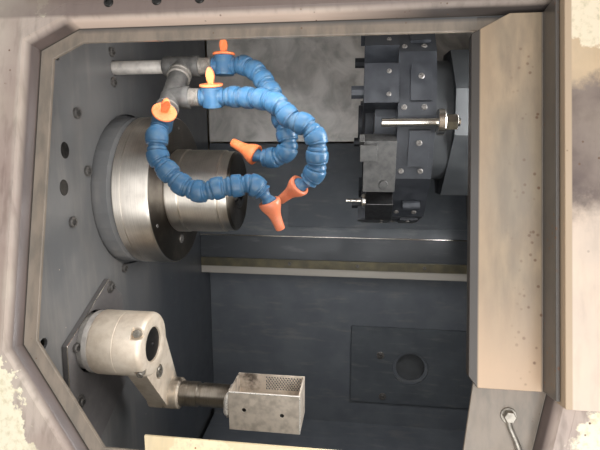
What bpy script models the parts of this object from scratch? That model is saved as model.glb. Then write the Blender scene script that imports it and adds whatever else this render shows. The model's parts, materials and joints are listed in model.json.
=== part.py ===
"""A small slant-bed turning lathe with an eight-hundred-millimetre-class enclosure, its door slid open.

Sizes are in millimetres in this file, and the helpers turn them into metres. The machine stands on Z = 0.
+X runs along the spindle from the headstock towards the turret, +Y runs to the back and +Z is up.
"""
import math

import bmesh
import bpy
from mathutils import Matrix, Vector

MM = 0.001
GAP = 0.3                      # clearance between pieces that touch
SHEET = 3.0                    # thickness of the enclosure's sheet steel

# Overall envelope
WIDTH = 1800.0
DEPTH = 1240.0
HEIGHT = 1660.0
FRONT_EDGE = -620.0            # the foremost point, the emergency button; the depth is measured from it
REAR_EDGE = FRONT_EDGE + DEPTH # the latch of the cabinet's door
COVER_FRONT = FRONT_EDGE + 20.0
COVER_BACK = REAR_EDGE - 20.0

# Spindle
SPINDLE_Y = -280.0
SPINDLE_Z = 1050.0
FLANGE_R = 100.0
FLANGE_BACK = -307.0
FLANGE_FRONT = -261.0
NOSE_R = 56.0
NOSE_FRONT = -176.0
SHAFT_R = 61.5
SHAFT_REAR = -WIDTH / 2 + 20.0
BAR_BORE_R = 27.0
BEARING_CLEARANCE = 0.5

# Chamber
WALL_X = -330.0                # face of the wall between the headstock and the chamber
WALL_THICK = 4.0
CHAMBER_RIGHT = WIDTH / 2 - 4.0
BACK_Y = 70.0
BACK_LOW_Z = 1116.0
CEILING_Z = 1400.0

# Slanted front: a datum plane leaning back by 13 degrees, with "forward" measured out of it
FRONT_Y = -489.0
FRONT_Z = 1060.0
FRONT_LEAN = 13.0
PANEL_FORWARD = 20.0
COVER_LEFT = -560.0
COVER_RIGHT = 700.0
OPENING_LEFT = -330.0
OPENING_TOP = 172.0
OPENING_BOTTOM = -245.0
RETURN_DEPTH = 40.0
LIP_WIDTH = 8.0                # the inward lip at the rear of the return
FLANGE_LEFT = 88.0             # left edge of the recessed flange on the door side
FLANGE_RIGHT = 150.0

# Door
POST_LEFT = 81.0
POST_RIGHT = 141.0
POST_FORWARD = 12.0
POST_DEPTH = 10.0
DOOR_LEFT = 142.5
DOOR_RIGHT = 690.0
DOOR_FORWARD = 45.0
DOOR_DEPTH = 19.0
DOOR_BOTTOM = -153.0
TRACK_TOP = 203.0
DOOR_TOP = TRACK_TOP + 7.0

# Slant bed: the slide ways lie on a plane at 45 degrees
BED_Y = 110.0
BED_Z = 880.0
BED_SLANT = 45.0
BED_LEFT = -345.0
BED_RIGHT = 720.0
HEAD_LEFT = -WIDTH / 2 + 200.0 # left end of the base and of the headstock casting
BED_TOP_Y = 325.0              # rear edge of the ways' slope; the bed and the cabinet share the space behind it
REAR_SPACE = COVER_BACK - BED_TOP_Y
BED_CORNER_Y = BED_TOP_Y + REAR_SPACE * 95 / 275
BED_BACK = BED_TOP_Y + REAR_SPACE * 155 / 275
CABINET_FRONT = BED_TOP_Y + REAR_SPACE * 175 / 275
CABINET_DEPTH = COVER_BACK - CABINET_FRONT
RAIL_LOW_S = 0.0
RAIL_HIGH_S = 200.0
RAIL_WIDTH = 30.0
RAIL_HEIGHT = 30.0
SADDLE_LEFT = 190.0
SADDLE_RIGHT = 390.0
TABLE_HEIGHT = 245.0
Z_SCREW_S = 100.0
Z_SCREW_H = 60.0
Z_SCREW_R = 16.0
X_SCREW_X = 290.0
X_SCREW_H = 228.0
X_SCREW_R = 10.0

# Turret
TURRET_S = -19.0
TURRET_H = 396.0
TURRET_FACES = 12
TURRET_R = 150.0
LEDGE_R = 128.0
TURRET_BACK = 75.0
TURRET_STEP = 31.0
TURRET_FRONT = 5.0
HOUSING_LEFT = 106.0
HOUSING_RIGHT = 340.0

# Cover over the ways
LIP_Y = -9.5
LIP_Z = 935.0
BEAM_BOTTOM_Z = 856.0

# Parts catcher
CATCHER_Y = -410.0
CATCHER_Z = 881.0
HUB_R = 37.6
HUB_LEFT = -312.0
HUB_RIGHT = -248.5
COLLAR_R = 36.5
CATCHER_SHAFT_R = 20.0
ROD_Y = -358.0
ROD_Z = 790.0
ROD_R = 15.0
BUCKET_LEFT = -165.0
BUCKET_RIGHT = -77.0
BUCKET_FRONT = -392.0
BUCKET_BACK = -342.0
BUCKET_BOTTOM = 766.0
BUCKET_TOP = 816.0
BUCKET_WALL = 2.0

# Coolant
PIPE_Y = -308.0
PIPE_Z = 1211.0
PIPE_R = 8.5
TEE_X = -238.0
TEE_R = 13.0
LEG_TEE = 60.0                 # distance down the sloping leg to the second tee
LEG_VALVE = 100.0              # distance down the sloping leg to the third valve
BEAD_R = 12.7
BEAD_PITCH = 20.0
BALL_R = 8.7
NOZZLE_LENGTH = 34.0
LEVER_DISC_R = 14.0

PARTS = bpy.data.collections.new("cnc_turning_lathe")
CUTTERS = bpy.data.collections.new("cutters")


# Helpers: objects

def clear_scene():
    for item in list(bpy.data.objects):
        bpy.data.objects.remove(item, do_unlink=True)
    for collection in (PARTS, CUTTERS):
        bpy.context.scene.collection.children.link(collection)


def shift(x, y, z):
    return Matrix.Translation(Vector((x, y, z)) * MM)


def tilted(y, z, degrees, x=0.0):
    """A frame whose X is the machine's, with its XY plane tilted up about X by an angle."""
    return shift(x, y, z) @ Matrix.Rotation(math.radians(degrees), 4, "X")


def pointing(start, direction):
    """A frame at a point whose Z runs along a direction."""
    turn = Vector(direction).to_track_quat("Z", "Y").to_matrix().to_4x4()
    return shift(*start) @ turn


ACROSS = Matrix(((0, 0, 1, 0), (1, 0, 0, 0), (0, 1, 0, 0), (0, 0, 0, 1)))   # outline in YZ, thickness in X
UPRIGHT = Matrix(((1, 0, 0, 0), (0, 0, -1, 0), (0, 1, 0, 0), (0, 0, 0, 1)))  # outline in XZ, thickness in -Y
FRONT = tilted(FRONT_Y, FRONT_Z, 90.0 - FRONT_LEAN)
BED = tilted(BED_Y, BED_Z, BED_SLANT)
COVER_RISE = math.hypot(BACK_Y - LIP_Y, BACK_LOW_Z - LIP_Z)
COVER_ANGLE = math.degrees(math.atan2(BACK_LOW_Z - LIP_Z, BACK_Y - LIP_Y))
COVER = tilted(LIP_Y, LIP_Z, COVER_ANGLE)


def on_bed(x, s, h):
    """A point in millimetres given along the bed's slant and above it."""
    point = BED @ (Vector((x, s, h)) * MM) / MM
    return tuple(point)


def on_front(x, w, forward):
    """A point in millimetres given up the slanted front and forward of it."""
    return tuple(FRONT @ (Vector((x, w, forward)) * MM) / MM)


TURRET_CENTRE = on_bed(0.0, TURRET_S, TURRET_H)


def from_bmesh(bm, place=None):
    mesh = bpy.data.meshes.new("shape")
    bm.to_mesh(mesh)
    bm.free()
    piece = bpy.data.objects.new("shape", mesh)
    if place is not None:
        piece.matrix_world = place
    PARTS.objects.link(piece)
    return piece


def box(low, high, place=None):
    bm = bmesh.new()
    size = [(b - a) * MM for a, b in zip(low, high)]
    middle = [(a + b) / 2 for a, b in zip(low, high)]
    bmesh.ops.create_cube(bm, size=1.0, matrix=shift(*middle) @ Matrix.Diagonal((*size, 1.0)))
    return from_bmesh(bm, place)


def rod(start, end, radius, end_radius=None, sides=24, place=None):
    """A cylinder or cone between two points."""
    bm = bmesh.new()
    start, end = Vector(start), Vector(end)
    middle = pointing((start + end) / 2, end - start)
    bmesh.ops.create_cone(
        bm, cap_ends=True, segments=sides, radius1=radius * MM,
        radius2=(radius if end_radius is None else end_radius) * MM,
        depth=(end - start).length * MM, matrix=middle)
    return from_bmesh(bm, place)


def evaluated(piece):
    """Replace a curve or an object with modifiers by the plain mesh that it makes, its doubles merged."""
    bpy.context.view_layer.update()
    graph = bpy.context.evaluated_depsgraph_get()
    mesh = bpy.data.meshes.new_from_object(piece.evaluated_get(graph))
    bm = bmesh.new()
    bm.from_mesh(mesh)
    bmesh.ops.remove_doubles(bm, verts=bm.verts, dist=0.00001)
    bmesh.ops.recalc_face_normals(bm, faces=bm.faces)
    place = piece.matrix_world.copy()
    bpy.data.objects.remove(piece, do_unlink=True)
    return from_bmesh(bm, place)


def outline(rings, thickness, place=None, start=0.0):
    """A flat outline of a given thickness, with any inner rings as holes."""
    curve = bpy.data.curves.new("outline", "CURVE")
    curve.dimensions = "2D"
    curve.fill_mode = "BOTH"
    curve.extrude = thickness * MM / 2
    for ring in rings:
        spline = curve.splines.new("POLY")
        spline.points.add(len(ring) - 1)
        for point, (x, y) in zip(spline.points, ring):
            point.co = (x * MM, y * MM, 0.0, 1.0)
        spline.use_cyclic_u = True
    piece = bpy.data.objects.new("outline", curve)
    PARTS.objects.link(piece)
    piece.matrix_world = (place or Matrix()) @ shift(0, 0, start + thickness / 2)
    return evaluated(piece)


def turned(profile, place, sides=32):
    """A turned shape: (radius, height) points down the outer side, and back up the bore if it has one."""
    mesh = bpy.data.meshes.new("profile")
    points = [(radius * MM, 0.0, height * MM) for radius, height in profile]
    edges = [(i, i + 1) for i in range(len(points) - 1)]
    if profile[0][0] > 0 and profile[-1][0] > 0:
        edges.append((len(points) - 1, 0))
    mesh.from_pydata(points, edges, [])
    piece = bpy.data.objects.new("turned", mesh)
    PARTS.objects.link(piece)
    screw = piece.modifiers.new("turn", "SCREW")
    screw.axis = "Z"
    screw.steps = sides
    screw.render_steps = sides
    screw.use_merge_vertices = True
    screw.merge_threshold = 0.00001
    piece.matrix_world = place
    return evaluated(piece)


def turned_x(profile, y, z, sides=32):
    """A turned shape about a line along X: (radius, x) points from the +X end down to the -X end."""
    return turned(profile, shift(0, y, z) @ Matrix.Rotation(math.radians(90), 4, "Y"), sides)


def folded_sheet(profile, left, right, thickness):
    """A sheet folded along a profile in YZ, with its thickness on the right of the profile's run."""
    bm = bmesh.new()
    verts = [bm.verts.new((left * MM, y * MM, z * MM)) for y, z in profile]
    edges = [bm.edges.new(pair) for pair in zip(verts, verts[1:])]
    swept = bmesh.ops.extrude_edge_only(bm, edges=edges)["geom"]
    moved = [item for item in swept if isinstance(item, bmesh.types.BMVert)]
    bmesh.ops.translate(bm, verts=moved, vec=((right - left) * MM, 0.0, 0.0))
    piece = from_bmesh(bm)
    solid = piece.modifiers.new("wall", "SOLIDIFY")
    solid.thickness = thickness * MM
    solid.offset = -1.0
    solid.use_even_offset = True
    return evaluated(piece)


def as_tool(tool):
    PARTS.objects.unlink(tool)
    CUTTERS.objects.link(tool)
    tool.hide_render = True
    tool.display_type = "WIRE"


def combine(piece, operation, tools):
    for tool in tools:
        step = piece.modifiers.new(operation.lower(), "BOOLEAN")
        step.operation = operation
        step.object = tool
        as_tool(tool)
    return piece


def cut(piece, *tools):
    return combine(piece, "DIFFERENCE", tools)


def join(piece, *tools):
    return combine(piece, "UNION", tools)


def pivot(piece, point):
    """Move a piece's origin to a point on its joint's axis, and leave its shape where it is."""
    target = shift(*point)
    piece.data.transform(target.inverted() @ piece.matrix_world)
    piece.matrix_world = target
    return piece


# Helpers: outlines

def circle(x, y, radius, sides=24, phase=0.0):
    turns = [phase + 2 * math.pi * i / sides for i in range(sides)]
    return [(x + radius * math.cos(a), y + radius * math.sin(a)) for a in turns]


def arc(x, y, radius, first, last, steps):
    """Points on an arc between two angles in degrees."""
    angles = [math.radians(first + (last - first) * i / steps) for i in range(steps + 1)]
    return [(x + radius * math.cos(a), y + radius * math.sin(a)) for a in angles]


def rectangle(x0, y0, x1, y1):
    return [(x0, y0), (x1, y0), (x1, y1), (x0, y1)]


def slot(x, y, width, height, turn=0.0, steps=5):
    """An upright oval hole."""
    reach = (height - width) / 2
    ends = arc(0, reach, width / 2, 0, 180, steps) + arc(0, -reach, width / 2, 180, 360, steps)
    c, s = math.cos(turn), math.sin(turn)
    return [(x + c * a - s * b, y + s * a + c * b) for a, b in ends]


def inset(ring, distance):
    """Move each side of an anticlockwise ring inwards by a distance."""
    result = []
    for before, here, after in zip(ring[-1:] + ring[:-1], ring, ring[1:] + ring[:1]):
        first = (Vector(here) - Vector(before)).normalized()
        second = (Vector(after) - Vector(here)).normalized()
        normal = Vector((-first.y, first.x))
        other = Vector((-second.y, second.x))
        bisector = (normal + other) / (1 + normal.dot(other))
        result.append(tuple(Vector(here) + bisector * distance))
    return result


def link_outline(x0, y0, r0, x1, y1, r1, steps=12):
    """Two round ends joined by their outer tangents, as on a lever or round two pulleys."""
    reach = math.hypot(x1 - x0, y1 - y0)
    heading = math.degrees(math.atan2(y1 - y0, x1 - x0))
    spread = math.degrees(math.acos((r0 - r1) / reach))
    near = arc(x0, y0, r0, heading + spread, heading + 360 - spread, steps)
    far = arc(x1, y1, r1, heading - spread, heading + spread, steps)
    return near + far


# Helpers: finishes

def finish(piece, name, colour, roughness=0.5, metallic=0.0):
    """Name a piece and give it its material."""
    material = bpy.data.materials.new(name)
    material.use_nodes = True
    shader = material.node_tree.nodes["Principled BSDF"]
    linear = [((c + 0.055) / 1.055) ** 2.4 if c > 0.04045 else c / 12.92 for c in colour]
    shader.inputs["Base Color"].default_value = (*linear, 1.0)
    shader.inputs["Roughness"].default_value = roughness
    shader.inputs["Metallic"].default_value = metallic
    material.diffuse_color = (*colour, 1.0)
    piece.data.materials.clear()
    piece.data.materials.append(material)
    piece.name = name
    return piece


CREAM = (0.80, 0.74, 0.60)
DARK_PAINT = (0.20, 0.19, 0.18)
DARK_SHEET = (0.10, 0.10, 0.11)
STEEL = (0.62, 0.59, 0.54)
CAST = (0.30, 0.31, 0.32)
BLACK_OXIDE = (0.12, 0.12, 0.12)
BLUE = (0.16, 0.36, 0.58)
ORANGE = (0.90, 0.38, 0.16)
CAST_ALUMINIUM = (0.66, 0.61, 0.54)


# Bed, headstock and spindle

def bed_casting():
    """The base slab, the pedestal under the headstock, the slanted bed and its levelling feet."""
    slab = outline([[(HEAD_LEFT, -430), (BED_LEFT, -430), (BED_LEFT, -195), (BED_RIGHT, -195),
                     (BED_RIGHT, BED_BACK), (HEAD_LEFT, BED_BACK)]], 160, start=40)
    pedestal = box((HEAD_LEFT, -430, 190), (BED_LEFT, 90, 900))
    low_front, high_back = BED_Z - BED_Y + 66, BED_Z - BED_Y + BED_TOP_Y
    slant = outline([[(66, 190), (BED_BACK, 190), (BED_BACK, 900), (BED_CORNER_Y, high_back),
                      (BED_TOP_Y, high_back), (66, low_front)]],
                    BED_RIGHT - BED_LEFT + 15, ACROSS, start=BED_LEFT - 15)
    bearings = []
    for left, right in ((-335, -300), (660, 700)):
        block = box((left, Z_SCREW_S - 28, -10), (right, Z_SCREW_S + 28, Z_SCREW_H + 28), BED)
        bearings.append(cut(block, rod((left - 5, Z_SCREW_S, Z_SCREW_H), (right + 5, Z_SCREW_S, Z_SCREW_H),
                                       Z_SCREW_R + BEARING_CLEARANCE, place=BED)))
    feet = []
    for x, y in ((HEAD_LEFT + 60, -370), (-400, -370), (HEAD_LEFT + 60, BED_BACK - 60), (660, BED_BACK - 60),
                 (660, -140)):
        feet.append(rod((x, y, 0), (x, y, 22), 45, 38, sides=20))
        feet.append(rod((x, y, 20), (x, y, 60), 14, sides=10))
    return finish(join(slab, pedestal, slant, *bearings, *feet), "bed_casting", CAST, 0.6, 0.3)


def headstock_casting():
    arch = arc(SPINDLE_Y, SPINDLE_Z, 138, 180, 0, 14)
    section = [(-418, 900 + GAP)] + arch + [(-90, 985), (80, 950), (80, 900 + GAP)]
    bore = circle(SPINDLE_Y, SPINDLE_Z, 91, 36)
    piece = outline([section[::-1], bore], BED_LEFT - HEAD_LEFT, ACROSS, start=HEAD_LEFT)
    pitch = (BED_LEFT - HEAD_LEFT - 55) / 3
    ribs = [box((HEAD_LEFT + 10 + pitch * i, -425, 900 + GAP), (HEAD_LEFT + 32 + pitch * i, -400, 1010))
            for i in range(4)]
    return finish(join(piece, *ribs), "headstock_casting", CAST, 0.6, 0.3)


def spindle_cartridge():
    inner = SHAFT_R + BEARING_CLEARANCE
    profile = [(96, FLANGE_BACK - 2), (100, FLANGE_BACK - 6), (100, WALL_X - 6), (120, WALL_X - 6),
               (120, BED_LEFT + GAP), (90, BED_LEFT + GAP), (90, PULLEY_RIGHT + 5), (inner, PULLEY_RIGHT + 5),
               (inner, FLANGE_BACK - 2)]
    return finish(turned_x(profile, SPINDLE_Y, SPINDLE_Z), "spindle_cartridge", STEEL, 0.35, 1.0)


def spindle():
    """Flange ring with its groove, the bored shaft and the steps for the pulley and the draw-tube end."""
    groove = FLANGE_BACK + 11
    profile = [(BAR_BORE_R, FLANGE_FRONT), (FLANGE_R - 2, FLANGE_FRONT), (FLANGE_R, FLANGE_FRONT - 2),
               (FLANGE_R, groove + 1), (FLANGE_R - 1.2, groove), (FLANGE_R, groove - 1),
               (FLANGE_R, FLANGE_BACK + 1), (FLANGE_R - 1, FLANGE_BACK), (SHAFT_R, FLANGE_BACK),
               (SHAFT_R, PULLEY_RIGHT + 1), (50, PULLEY_RIGHT + 1), (50, PULLEY_LEFT - 30), (74, PULLEY_LEFT - 30),
               (74, SHAFT_REAR + 15), (40, SHAFT_REAR + 15),
               (40, SHAFT_REAR), (BAR_BORE_R, SHAFT_REAR)]
    piece = turned_x(profile, SPINDLE_Y, SPINDLE_Z, 36)
    return finish(piece, "spindle", STEEL, 0.3, 1.0)


def collet_chuck():
    back = FLANGE_FRONT + GAP
    first, second = -242.0, -191.0
    profile = [(24.4, NOSE_FRONT), (NOSE_R - 4.5, NOSE_FRONT), (NOSE_R - 2, NOSE_FRONT - 2.5),
               (NOSE_R - 2, second + 1), (NOSE_R - 3, second), (NOSE_R, second - 1),
               (NOSE_R, first + 1), (NOSE_R - 1.5, first), (NOSE_R + 1, first - 1),
               (NOSE_R + 1, back + 2), (NOSE_R - 1, back), (24.4, back)]
    return finish(turned_x(profile, SPINDLE_Y, SPINDLE_Z), "collet_chuck", STEEL, 0.28, 1.0)


def collet():
    profile = [(12.5, NOSE_FRONT + 3), (21, NOSE_FRONT + 3), (24, NOSE_FRONT), (24, -238), (20, -240),
               (20, -257), (12.5, -257)]
    piece = turned_x(profile, SPINDLE_Y, SPINDLE_Z, 24)
    slots = []
    for i in range(3):
        turn = shift(0, SPINDLE_Y, SPINDLE_Z) @ Matrix.Rotation(math.radians(90 + 120 * i), 4, "X")
        slots.append(box((-228, 5, -1.2), (NOSE_FRONT + 10, 30, 1.2), turn))
    return finish(cut(piece, *slots), "collet", BLACK_OXIDE, 0.4, 0.8)


PULLEY_LEFT = SHAFT_REAR + 110.0
PULLEY_RIGHT = PULLEY_LEFT + 53.0
SPINDLE_PULLEY_R = 90.0
MOTOR_PULLEY_R = 55.0
MOTOR_Y = 230.0
MOTOR_Z = 330.0
MOTOR_SHAFT_R = 24.0
BELT_THICK = 8.0


def ribbed_rim(radius):
    """The rim of a flat pulley with a lip at each side."""
    return [(radius + 10, PULLEY_RIGHT), (radius + 10, PULLEY_RIGHT - 3), (radius, PULLEY_RIGHT - 5),
            (radius, PULLEY_LEFT + 5), (radius + 10, PULLEY_LEFT + 3), (radius + 10, PULLEY_LEFT)]


def spindle_pulley():
    inner = 50 + GAP
    profile = [(inner, PULLEY_RIGHT)] + ribbed_rim(SPINDLE_PULLEY_R) + [(inner, PULLEY_LEFT)]
    return finish(turned_x(profile, SPINDLE_Y, SPINDLE_Z, 36), "spindle_pulley", CAST, 0.5, 0.6)


def motor_pulley():
    """The lower pulley and the motor shaft that it is keyed to."""
    profile = ([(0, HEAD_LEFT + 40), (MOTOR_SHAFT_R, HEAD_LEFT + 40), (MOTOR_SHAFT_R, PULLEY_RIGHT)]
               + ribbed_rim(MOTOR_PULLEY_R) + [(0, PULLEY_LEFT)])
    return finish(turned_x(profile, MOTOR_Y, MOTOR_Z, 32), "motor_pulley", CAST, 0.5, 0.6)


def drive_belt():
    rings = [link_outline(SPINDLE_Y, SPINDLE_Z, SPINDLE_PULLEY_R + extra,
                          MOTOR_Y, MOTOR_Z, MOTOR_PULLEY_R + extra)
             for extra in (0.9 + BELT_THICK, 0.9)]
    piece = outline(rings, PULLEY_RIGHT - PULLEY_LEFT - 16, ACROSS, start=PULLEY_LEFT + 8)
    return finish(piece, "drive_belt", (0.05, 0.05, 0.05), 0.8)


def spindle_motor():
    body = outline([rectangle(MOTOR_Y - 100, 222, MOTOR_Y + 100, 438)], BED_LEFT - 75 - (HEAD_LEFT + 10), ACROSS,
                   start=HEAD_LEFT + 10)
    rounding = body.modifiers.new("rounding", "BEVEL")
    rounding.width = 22 * MM
    rounding.segments = 3
    foot = box((HEAD_LEFT + 20, MOTOR_Y - 115, 200 + GAP), (BED_LEFT - 95, MOTOR_Y + 115, 230))
    fan = rod((BED_LEFT - 80, MOTOR_Y, MOTOR_Z), (BED_LEFT - 50, MOTOR_Y, MOTOR_Z), 92, sides=28)
    hole = rod((HEAD_LEFT + 5, MOTOR_Y, MOTOR_Z), (HEAD_LEFT + 45, MOTOR_Y, MOTOR_Z), MOTOR_SHAFT_R + BEARING_CLEARANCE)
    return finish(cut(join(body, foot, fan), hole), "spindle_motor", DARK_PAINT, 0.6)


# Slides and turret

def rail_section(s, spread=0.0):
    """The waisted section of a linear rail, grown by a clearance."""
    half = RAIL_WIDTH / 2 + spread
    top = RAIL_HEIGHT + spread
    return [(s - half, 0), (s + half, 0), (s + half, 9), (s + half - 4, 14), (s + half, 21),
            (s + half, top), (s - half, top), (s - half, 21), (s - half + 4, 14), (s - half, 9)]


BED_SECTION = BED @ ACROSS     # an outline in slant and height, extruded along X


def way_rail(name, s):
    section = [(a, max(b, GAP)) for a, b in rail_section(s)]
    return finish(outline([section], 990, BED_SECTION, start=-295), name, STEEL, 0.3, 1.0)


def saddle():
    """The carriage on the rails, the neck through the covers and the table for the cross slide."""
    plate = box((150, -40, 38), (430, 240, 85), BED)
    nut_hole = rod((140, Z_SCREW_S, Z_SCREW_H), (440, Z_SCREW_S, Z_SCREW_H),
                   Z_SCREW_R + BEARING_CLEARANCE, place=BED)
    trucks = []
    for s in (RAIL_LOW_S, RAIL_HIGH_S):
        truck = box((155, s - 34, 5), (425, s + 34, 45), BED)
        section = [(a, b if b > 0 else -5) for a, b in rail_section(s, 0.8)]
        groove = outline([section], 300, BED_SECTION, start=140)
        trucks.append(cut(truck, groove))
    neck = box((SADDLE_LEFT, 0, 80), (SADDLE_RIGHT, 122, TABLE_HEIGHT - 30), BED)
    table = box((SADDLE_LEFT - 10, -130, 203), (SADDLE_RIGHT + 10, 115, TABLE_HEIGHT), BED)
    trench = box((X_SCREW_X - 20, -110, 208), (X_SCREW_X + 20, 98, TABLE_HEIGHT + 5), BED)
    screw_hole = rod((X_SCREW_X, -140, X_SCREW_H), (X_SCREW_X, 140, X_SCREW_H),
                     X_SCREW_R + BEARING_CLEARANCE, place=BED)
    piece = cut(join(plate, *trucks, neck, table), nut_hole, trench, screw_hole)
    return finish(piece, "saddle", CAST, 0.55, 0.4)


def z_ball_screw():
    piece = rod((-340, Z_SCREW_S, Z_SCREW_H), (705, Z_SCREW_S, Z_SCREW_H), Z_SCREW_R, sides=20, place=BED)
    return finish(pivot(piece, on_bed(0, Z_SCREW_S, Z_SCREW_H)), "z_ball_screw", STEEL, 0.3, 1.0)


def x_ball_screw():
    piece = rod((X_SCREW_X, -128, X_SCREW_H), (X_SCREW_X, 114, X_SCREW_H), X_SCREW_R, sides=20, place=BED)
    return finish(pivot(piece, on_bed(X_SCREW_X, 0, X_SCREW_H)), "x_ball_screw", STEEL, 0.3, 1.0)


def cross_slide():
    """The slide plate with its ball nut, the turret's gear housing, its bearing neck and its servo."""
    plate = box((200, -118, TABLE_HEIGHT + GAP), (380, 72, 304), BED)
    nut = box((X_SCREW_X - 14, -62, 213), (X_SCREW_X + 14, -18, 260), BED)
    nut_hole = rod((X_SCREW_X, -70, X_SCREW_H), (X_SCREW_X, -10, X_SCREW_H), X_SCREW_R + BEARING_CLEARANCE,
                   place=BED)
    section = [(-104, 330), (-104, 450), (-60, 488), (20, 488), (62, 450), (62, 330), (30, 296), (-72, 296)]
    housing = outline([section], HOUSING_RIGHT - HOUSING_LEFT, BED_SECTION, start=HOUSING_LEFT)
    centre = (TURRET_S, TURRET_H)
    neck = rod((TURRET_BACK + GAP, *centre), (HOUSING_LEFT + 5, *centre), 84, sides=32, place=BED)
    servo = rod((HOUSING_RIGHT - 5, *centre), (HOUSING_RIGHT + 95, *centre), 58, sides=24, place=BED)
    cap = box((HOUSING_RIGHT + 60, TURRET_S - 40, TURRET_H + 40), (HOUSING_RIGHT + 90, TURRET_S + 40,
                                                                  TURRET_H + 74), BED)
    piece = cut(join(plate, nut, housing, neck, servo, cap), nut_hole)
    return finish(piece, "cross_slide", CAST, 0.5, 0.4)


def station(degrees):
    """A frame at the turret's axis: X outwards at a station, Y round the disc and Z along the machine."""
    turn = Matrix.Rotation(math.radians(180 - degrees), 4, "Z")
    return shift(*TURRET_CENTRE) @ ACROSS @ turn


def turret_disc():
    """The two-tier disc: flats behind, a ledge for the tools in front and a clamping hub."""
    phase = math.radians(180)
    centre = TURRET_CENTRE[1:]
    flats = outline([circle(*centre, TURRET_R, TURRET_FACES, phase)],
                    TURRET_BACK - TURRET_STEP, ACROSS, start=TURRET_STEP)
    ledge = outline([circle(*centre, LEDGE_R, TURRET_FACES, phase)],
                    TURRET_STEP - TURRET_FRONT + 2, ACROSS, start=TURRET_FRONT)
    hub = turned_x([(0, 8), (58, 8), (58, -6), (50, -10), (24, -10), (24, -16), (0, -16)], *centre, 32)
    extras = []
    for i in range(TURRET_FACES):
        angle = 15 + 30 * i
        if angle in (345, 315):
            continue
        frame = station(angle)
        half = 30 if i % 2 else 24
        extras.append(box((112, -half, -9), (148, half, TURRET_STEP + 1), frame))
        if i % 2:
            extras.append(box((130, -half + 6, -14), (149, half - 26, 16), frame))
        else:
            extras.append(rod((134, 6, -24), (134, 6, 0), 8, sides=8, place=frame))
    pads = [box((142, -22, TURRET_STEP + 14), (148.5, 22, TURRET_BACK - 6), station(15 + 30 * i))
            for i in range(TURRET_FACES) if i != 10]
    coupling = rod((150, 8, 44), (150, 8, 66), 6.5, sides=14, place=station(315))
    piece = join(flats, ledge, hub, *extras, *pads, coupling)
    return finish(pivot(piece, TURRET_CENTRE), "turret_disc", DARK_SHEET, 0.45, 0.5)


LEDGE_SEAT = LEDGE_R * math.cos(math.pi / TURRET_FACES) + GAP
RIM_SEAT = TURRET_R * math.cos(math.pi / TURRET_FACES) + GAP


def turning_tool():
    """The steel tool block with its clamped insert, bolted on the ledge."""
    frame = station(-15)
    body = box((LEDGE_SEAT, -12, -8), (158, 52, TURRET_STEP - GAP), frame)
    clamp = box((150, -8, -12), (163, 12, 8), frame)
    insert = outline([[(165, -13), (157, -5), (149, -13), (157, -20)]], 6, frame, start=-13)
    bolt = rod((150, 42, 17), (161, 42, 17), 5.5, sides=12, place=frame)
    piece = join(body, clamp, insert, bolt)
    return finish(pivot(piece, TURRET_CENTRE), "turning_tool", STEEL, 0.35, 1.0)


def drill_holder():
    """A round-shank drill in a split block at the lowest front station."""
    frame = station(-45)
    body = box((LEDGE_SEAT, -8, -4), (162, 26, TURRET_STEP - GAP), frame)
    chuck = rod((150, 0, -10), (150, 0, 0), 9, sides=16, place=frame)
    drill = rod((150, 0, -27), (150, 0, -5), 4.5, sides=12, place=frame)
    point = rod((150, 0, -31), (150, 0, -26.9), 0.4, 4.5, sides=12, place=frame)
    return finish(pivot(join(body, chuck, drill, point), TURRET_CENTRE), "drill_holder", STEEL, 0.35, 1.0)


BAR_ANGLE = -3.0
BAR_R = 5.0
BAR_REACH = (RIM_SEAT + BAR_R) / math.cos(math.radians(15 + BAR_ANGLE))


def boring_bar():
    """A bright bar held across the rim, with its flange and nut behind the disc."""
    frame = station(BAR_ANGLE)
    bar = rod((BAR_REACH, 0, 12), (BAR_REACH, 0, 101), BAR_R, sides=20, place=frame)
    flange = rod((BAR_REACH, 0, TURRET_BACK + GAP), (BAR_REACH, 0, 84), 15, sides=28, place=frame)
    nut = rod((BAR_REACH, 0, 83), (BAR_REACH, 0, 98), 10, sides=6, place=frame)
    return finish(pivot(join(bar, flange, nut), TURRET_CENTRE), "boring_bar", STEEL, 0.15, 1.0)


# Chamber sheet metal

def left_wall_plate():
    """The wall plate: a spindle hole, a pipe hole, the catcher's hole and the oval access holes."""
    def front_edge(z):
        lean = math.radians(FRONT_LEAN)
        return (FRONT_Y + (z - FRONT_Z) * math.tan(lean)
                + (RETURN_DEPTH - PANEL_FORWARD + GAP) / math.cos(lean))
    section = [(front_edge(800), 800), (-540, 780), (-540, 530), (60, 530), (60, 1500),
               (front_edge(1500), 1500)]
    holes = [circle(SPINDLE_Y, SPINDLE_Z, 104, 40), circle(PIPE_Y, PIPE_Z, PIPE_R + 1, 16),
             circle(CATCHER_Y, CATCHER_Z, COLLAR_R + GAP, 28),
             slot(-427, 1207, 9, 13), slot(-427, 1107, 11, 17), slot(-434, 1067, 11, 17),
             circle(-489, 911, 6, 12)]
    piece = outline([section, *holes], WALL_THICK, ACROSS, start=WALL_X - WALL_THICK)
    return finish(piece, "left_wall_plate", DARK_PAINT, 0.45)


def back_panel():
    """The bright back sheet, folded forward over the chamber as its ceiling."""
    profile = [(BACK_Y, BACK_LOW_Z + 3), (BACK_Y, CEILING_Z), (-424, CEILING_Z)]
    piece = folded_sheet(profile, WALL_X + GAP, CHAMBER_RIGHT, 2.0)
    return finish(piece, "back_panel", (0.55, 0.54, 0.52), 0.35, 0.6)


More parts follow.
